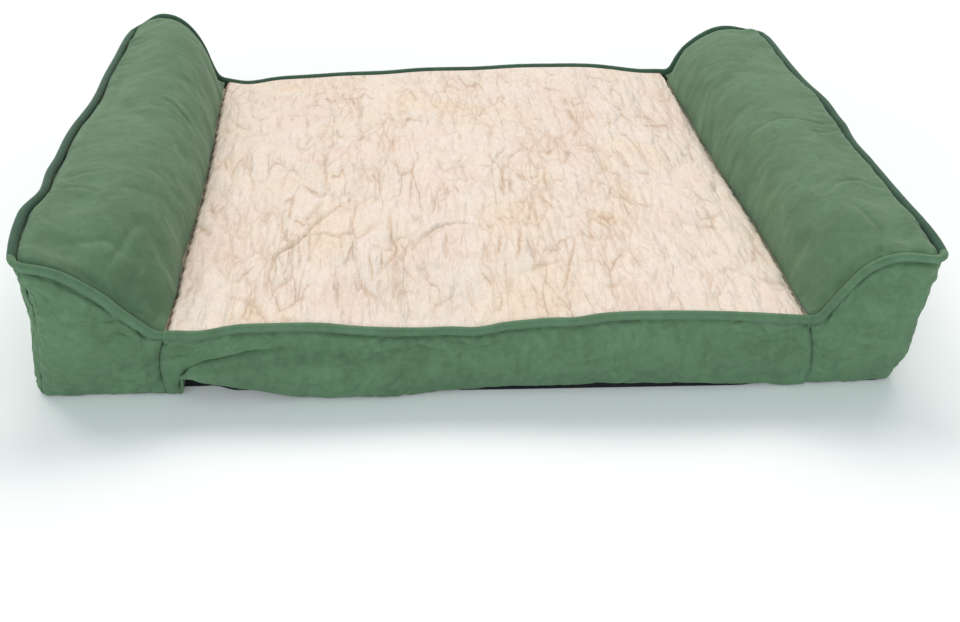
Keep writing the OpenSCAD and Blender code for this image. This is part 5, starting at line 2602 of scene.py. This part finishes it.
PLUSH_CREASES = (
    Crease(((-0.271, -0.264), (-0.260, -0.247), (-0.248, -0.230)), 0.0020, 0.0020),
    Crease(((-0.235, -0.298), (-0.234, -0.248), (-0.228, -0.212),
            (-0.204, -0.185), (-0.184, -0.144), (-0.163, -0.114), (-0.147, -0.096)), 0.0024, 0.0022),
    Crease(((-0.201, -0.248), (-0.202, -0.215), (-0.204, -0.187)), 0.0018, 0.0018),
    Crease(((-0.204, -0.173), (-0.176, -0.171), (-0.152, -0.183), (-0.157, -0.207)), 0.0018, 0.0020),
    Crease(((-0.069, 0.040), (-0.068, -0.002), (-0.073, -0.053), (-0.076, -0.123)), 0.0020, 0.0018),
    Crease(((-0.100, -0.117), (-0.100, -0.153), (-0.100, -0.182),
            (-0.094, -0.212), (-0.109, -0.239), (-0.121, -0.263)), 0.0024, 0.0020),
    Crease(((-0.126, -0.209), (-0.124, -0.237), (-0.122, -0.265)), 0.0022, 0.0018),
    Crease(((-0.072, -0.199), (-0.060, -0.177),
            (-0.046, -0.161), (-0.024, -0.153), (-0.001, -0.156)), 0.0020, 0.0018),
    Crease(((-0.036, -0.166), (-0.039, -0.194), (-0.040, -0.227)), 0.0020, 0.0018),
    Crease(((-0.043, -0.078), (-0.043, -0.113), (-0.043, -0.143)), 0.0014, 0.0018),
    Crease(((0.024, -0.181), (0.021, -0.205), (0.015, -0.225)), 0.0026, 0.0020),
    Crease(((0.049, -0.164), (0.044, -0.200), (0.037, -0.239)), 0.0024, 0.0020),
    Crease(((0.070, -0.085), (0.069, -0.116), (0.070, -0.150), (0.074, -0.196)), 0.0020, 0.0018),
    Crease(((0.100, 0.003), (0.093, -0.043), (0.093, -0.090)), 0.0024, 0.0020),
    Crease(((0.108, -0.175), (0.106, -0.204),
            (0.096, -0.240), (0.087, -0.275), (0.078, -0.300)), 0.0024, 0.0020),
    Crease(((0.133, -0.130), (0.142, -0.153), (0.152, -0.168), (0.153, -0.211)), 0.0022, 0.0020),
    Crease(((-0.181, 0.068), (-0.178, 0.004), (-0.175, -0.053), (-0.182, -0.093)), 0.0020, 0.0018),
    Crease(((-0.217, 0.093), (-0.213, 0.052), (-0.200, 0.052), (-0.189, 0.068)), 0.0016, 0.0018),
    Crease(((0.047, 0.016), (0.041, -0.043), (0.038, -0.095)), 0.0020, 0.0018),
    Crease(((-0.013, -0.011), (-0.002, 0.028)), 0.0016, 0.0018),
    Crease(((-0.135, 0.199), (-0.134, 0.143), (-0.133, 0.087)), 0.0018, 0.0018),
    Crease(((0.032, -0.002), (0.045, 0.028), (0.058, 0.052)), 0.0016, 0.0018),
    Crease(((-0.013, -0.319), (-0.019, -0.288), (-0.021, -0.260)), 0.0018, 0.0020),
    Crease(((0.202, -0.102), (0.189, -0.146), (0.185, -0.190)), 0.0018, 0.0018),
    Crease(((0.197, -0.242), (0.184, -0.277), (0.186, -0.307)), 0.0018, 0.0018),
    Crease(((0.246, -0.243), (0.249, -0.272), (0.237, -0.304)), 0.0016, 0.0018),
    Crease(((-0.275, 0.058), (-0.273, -0.007), (-0.260, -0.058)), 0.0016, 0.0018),
    Crease(((-0.286, -0.085), (-0.274, -0.123), (-0.275, -0.165)), 0.0016, 0.0018),
)
FRONT_HANGS = (
    Hang(-0.336, 0.042, 0.0, 0.0005, 0.0),
    Hang(-0.322, 0.042, 0.009, 0.008, 0.0280),
    Hang(-0.311, 0.044, 0.011, 0.010, 0.0280),
    Hang(-0.303, 0.0455, 0.012, 0.012, 0.0260),
    Hang(-0.290, 0.0465, 0.012, 0.012, 0.0210),
    Hang(-0.272, 0.053, 0.012, 0.012, 0.0157),
    Hang(-0.258, 0.057, 0.012, 0.012, 0.0125),
    Hang(-0.240, 0.060, 0.012, 0.012, 0.0090),
    Hang(-0.200, 0.065, 0.012, 0.0125, 0.0025),
    Hang(-0.165, 0.067, 0.011, 0.013, 0.0005),
    Hang(-0.120, 0.069, 0.008, 0.0135, 0.0),
    Hang(-0.080, 0.072, 0.004, 0.010, 0.0),
    Hang(-0.030, 0.074, 0.0, 0.004, 0.0020),
    Hang(0.030, 0.074, 0.0, 0.004, 0.0055),
    Hang(0.170, 0.074, 0.0, 0.004, 0.0062),
    Hang(0.260, 0.074, 0.0, 0.0045, 0.0045),
    Hang(0.320, 0.074, 0.0, 0.0045, 0.0005),
    Hang(0.336, 0.074, 0.0, 0.003, 0.0),
)


def main() -> None:
    """Build the whole bed."""
    logging.basicConfig(level=logging.INFO, format="%(message)s")
    form = BedForm(tugs=TUGS)
    Studio().build()
    room = SewingRoom()
    bolsters = [Bolster(form, Side.LEFT, LEFT_CREASES), Bolster(form, Side.RIGHT, RIGHT_CREASES, 0.0056)]
    panels = UprightPanels(form, FRONT_HANGS, FRONT_CREASES)
    for maker in (*bolsters, panels):
        maker.cut(room)
    room.settle()
    Core(form).build()
    for bolster in bolsters:
        bolster.build(room)
    panels.build(room)
    SleepQuilt(form, PLUSH_CREASES).build()
    Welting(form).build()
    Zipper(form).build()


if __name__ == "__main__":
    main()
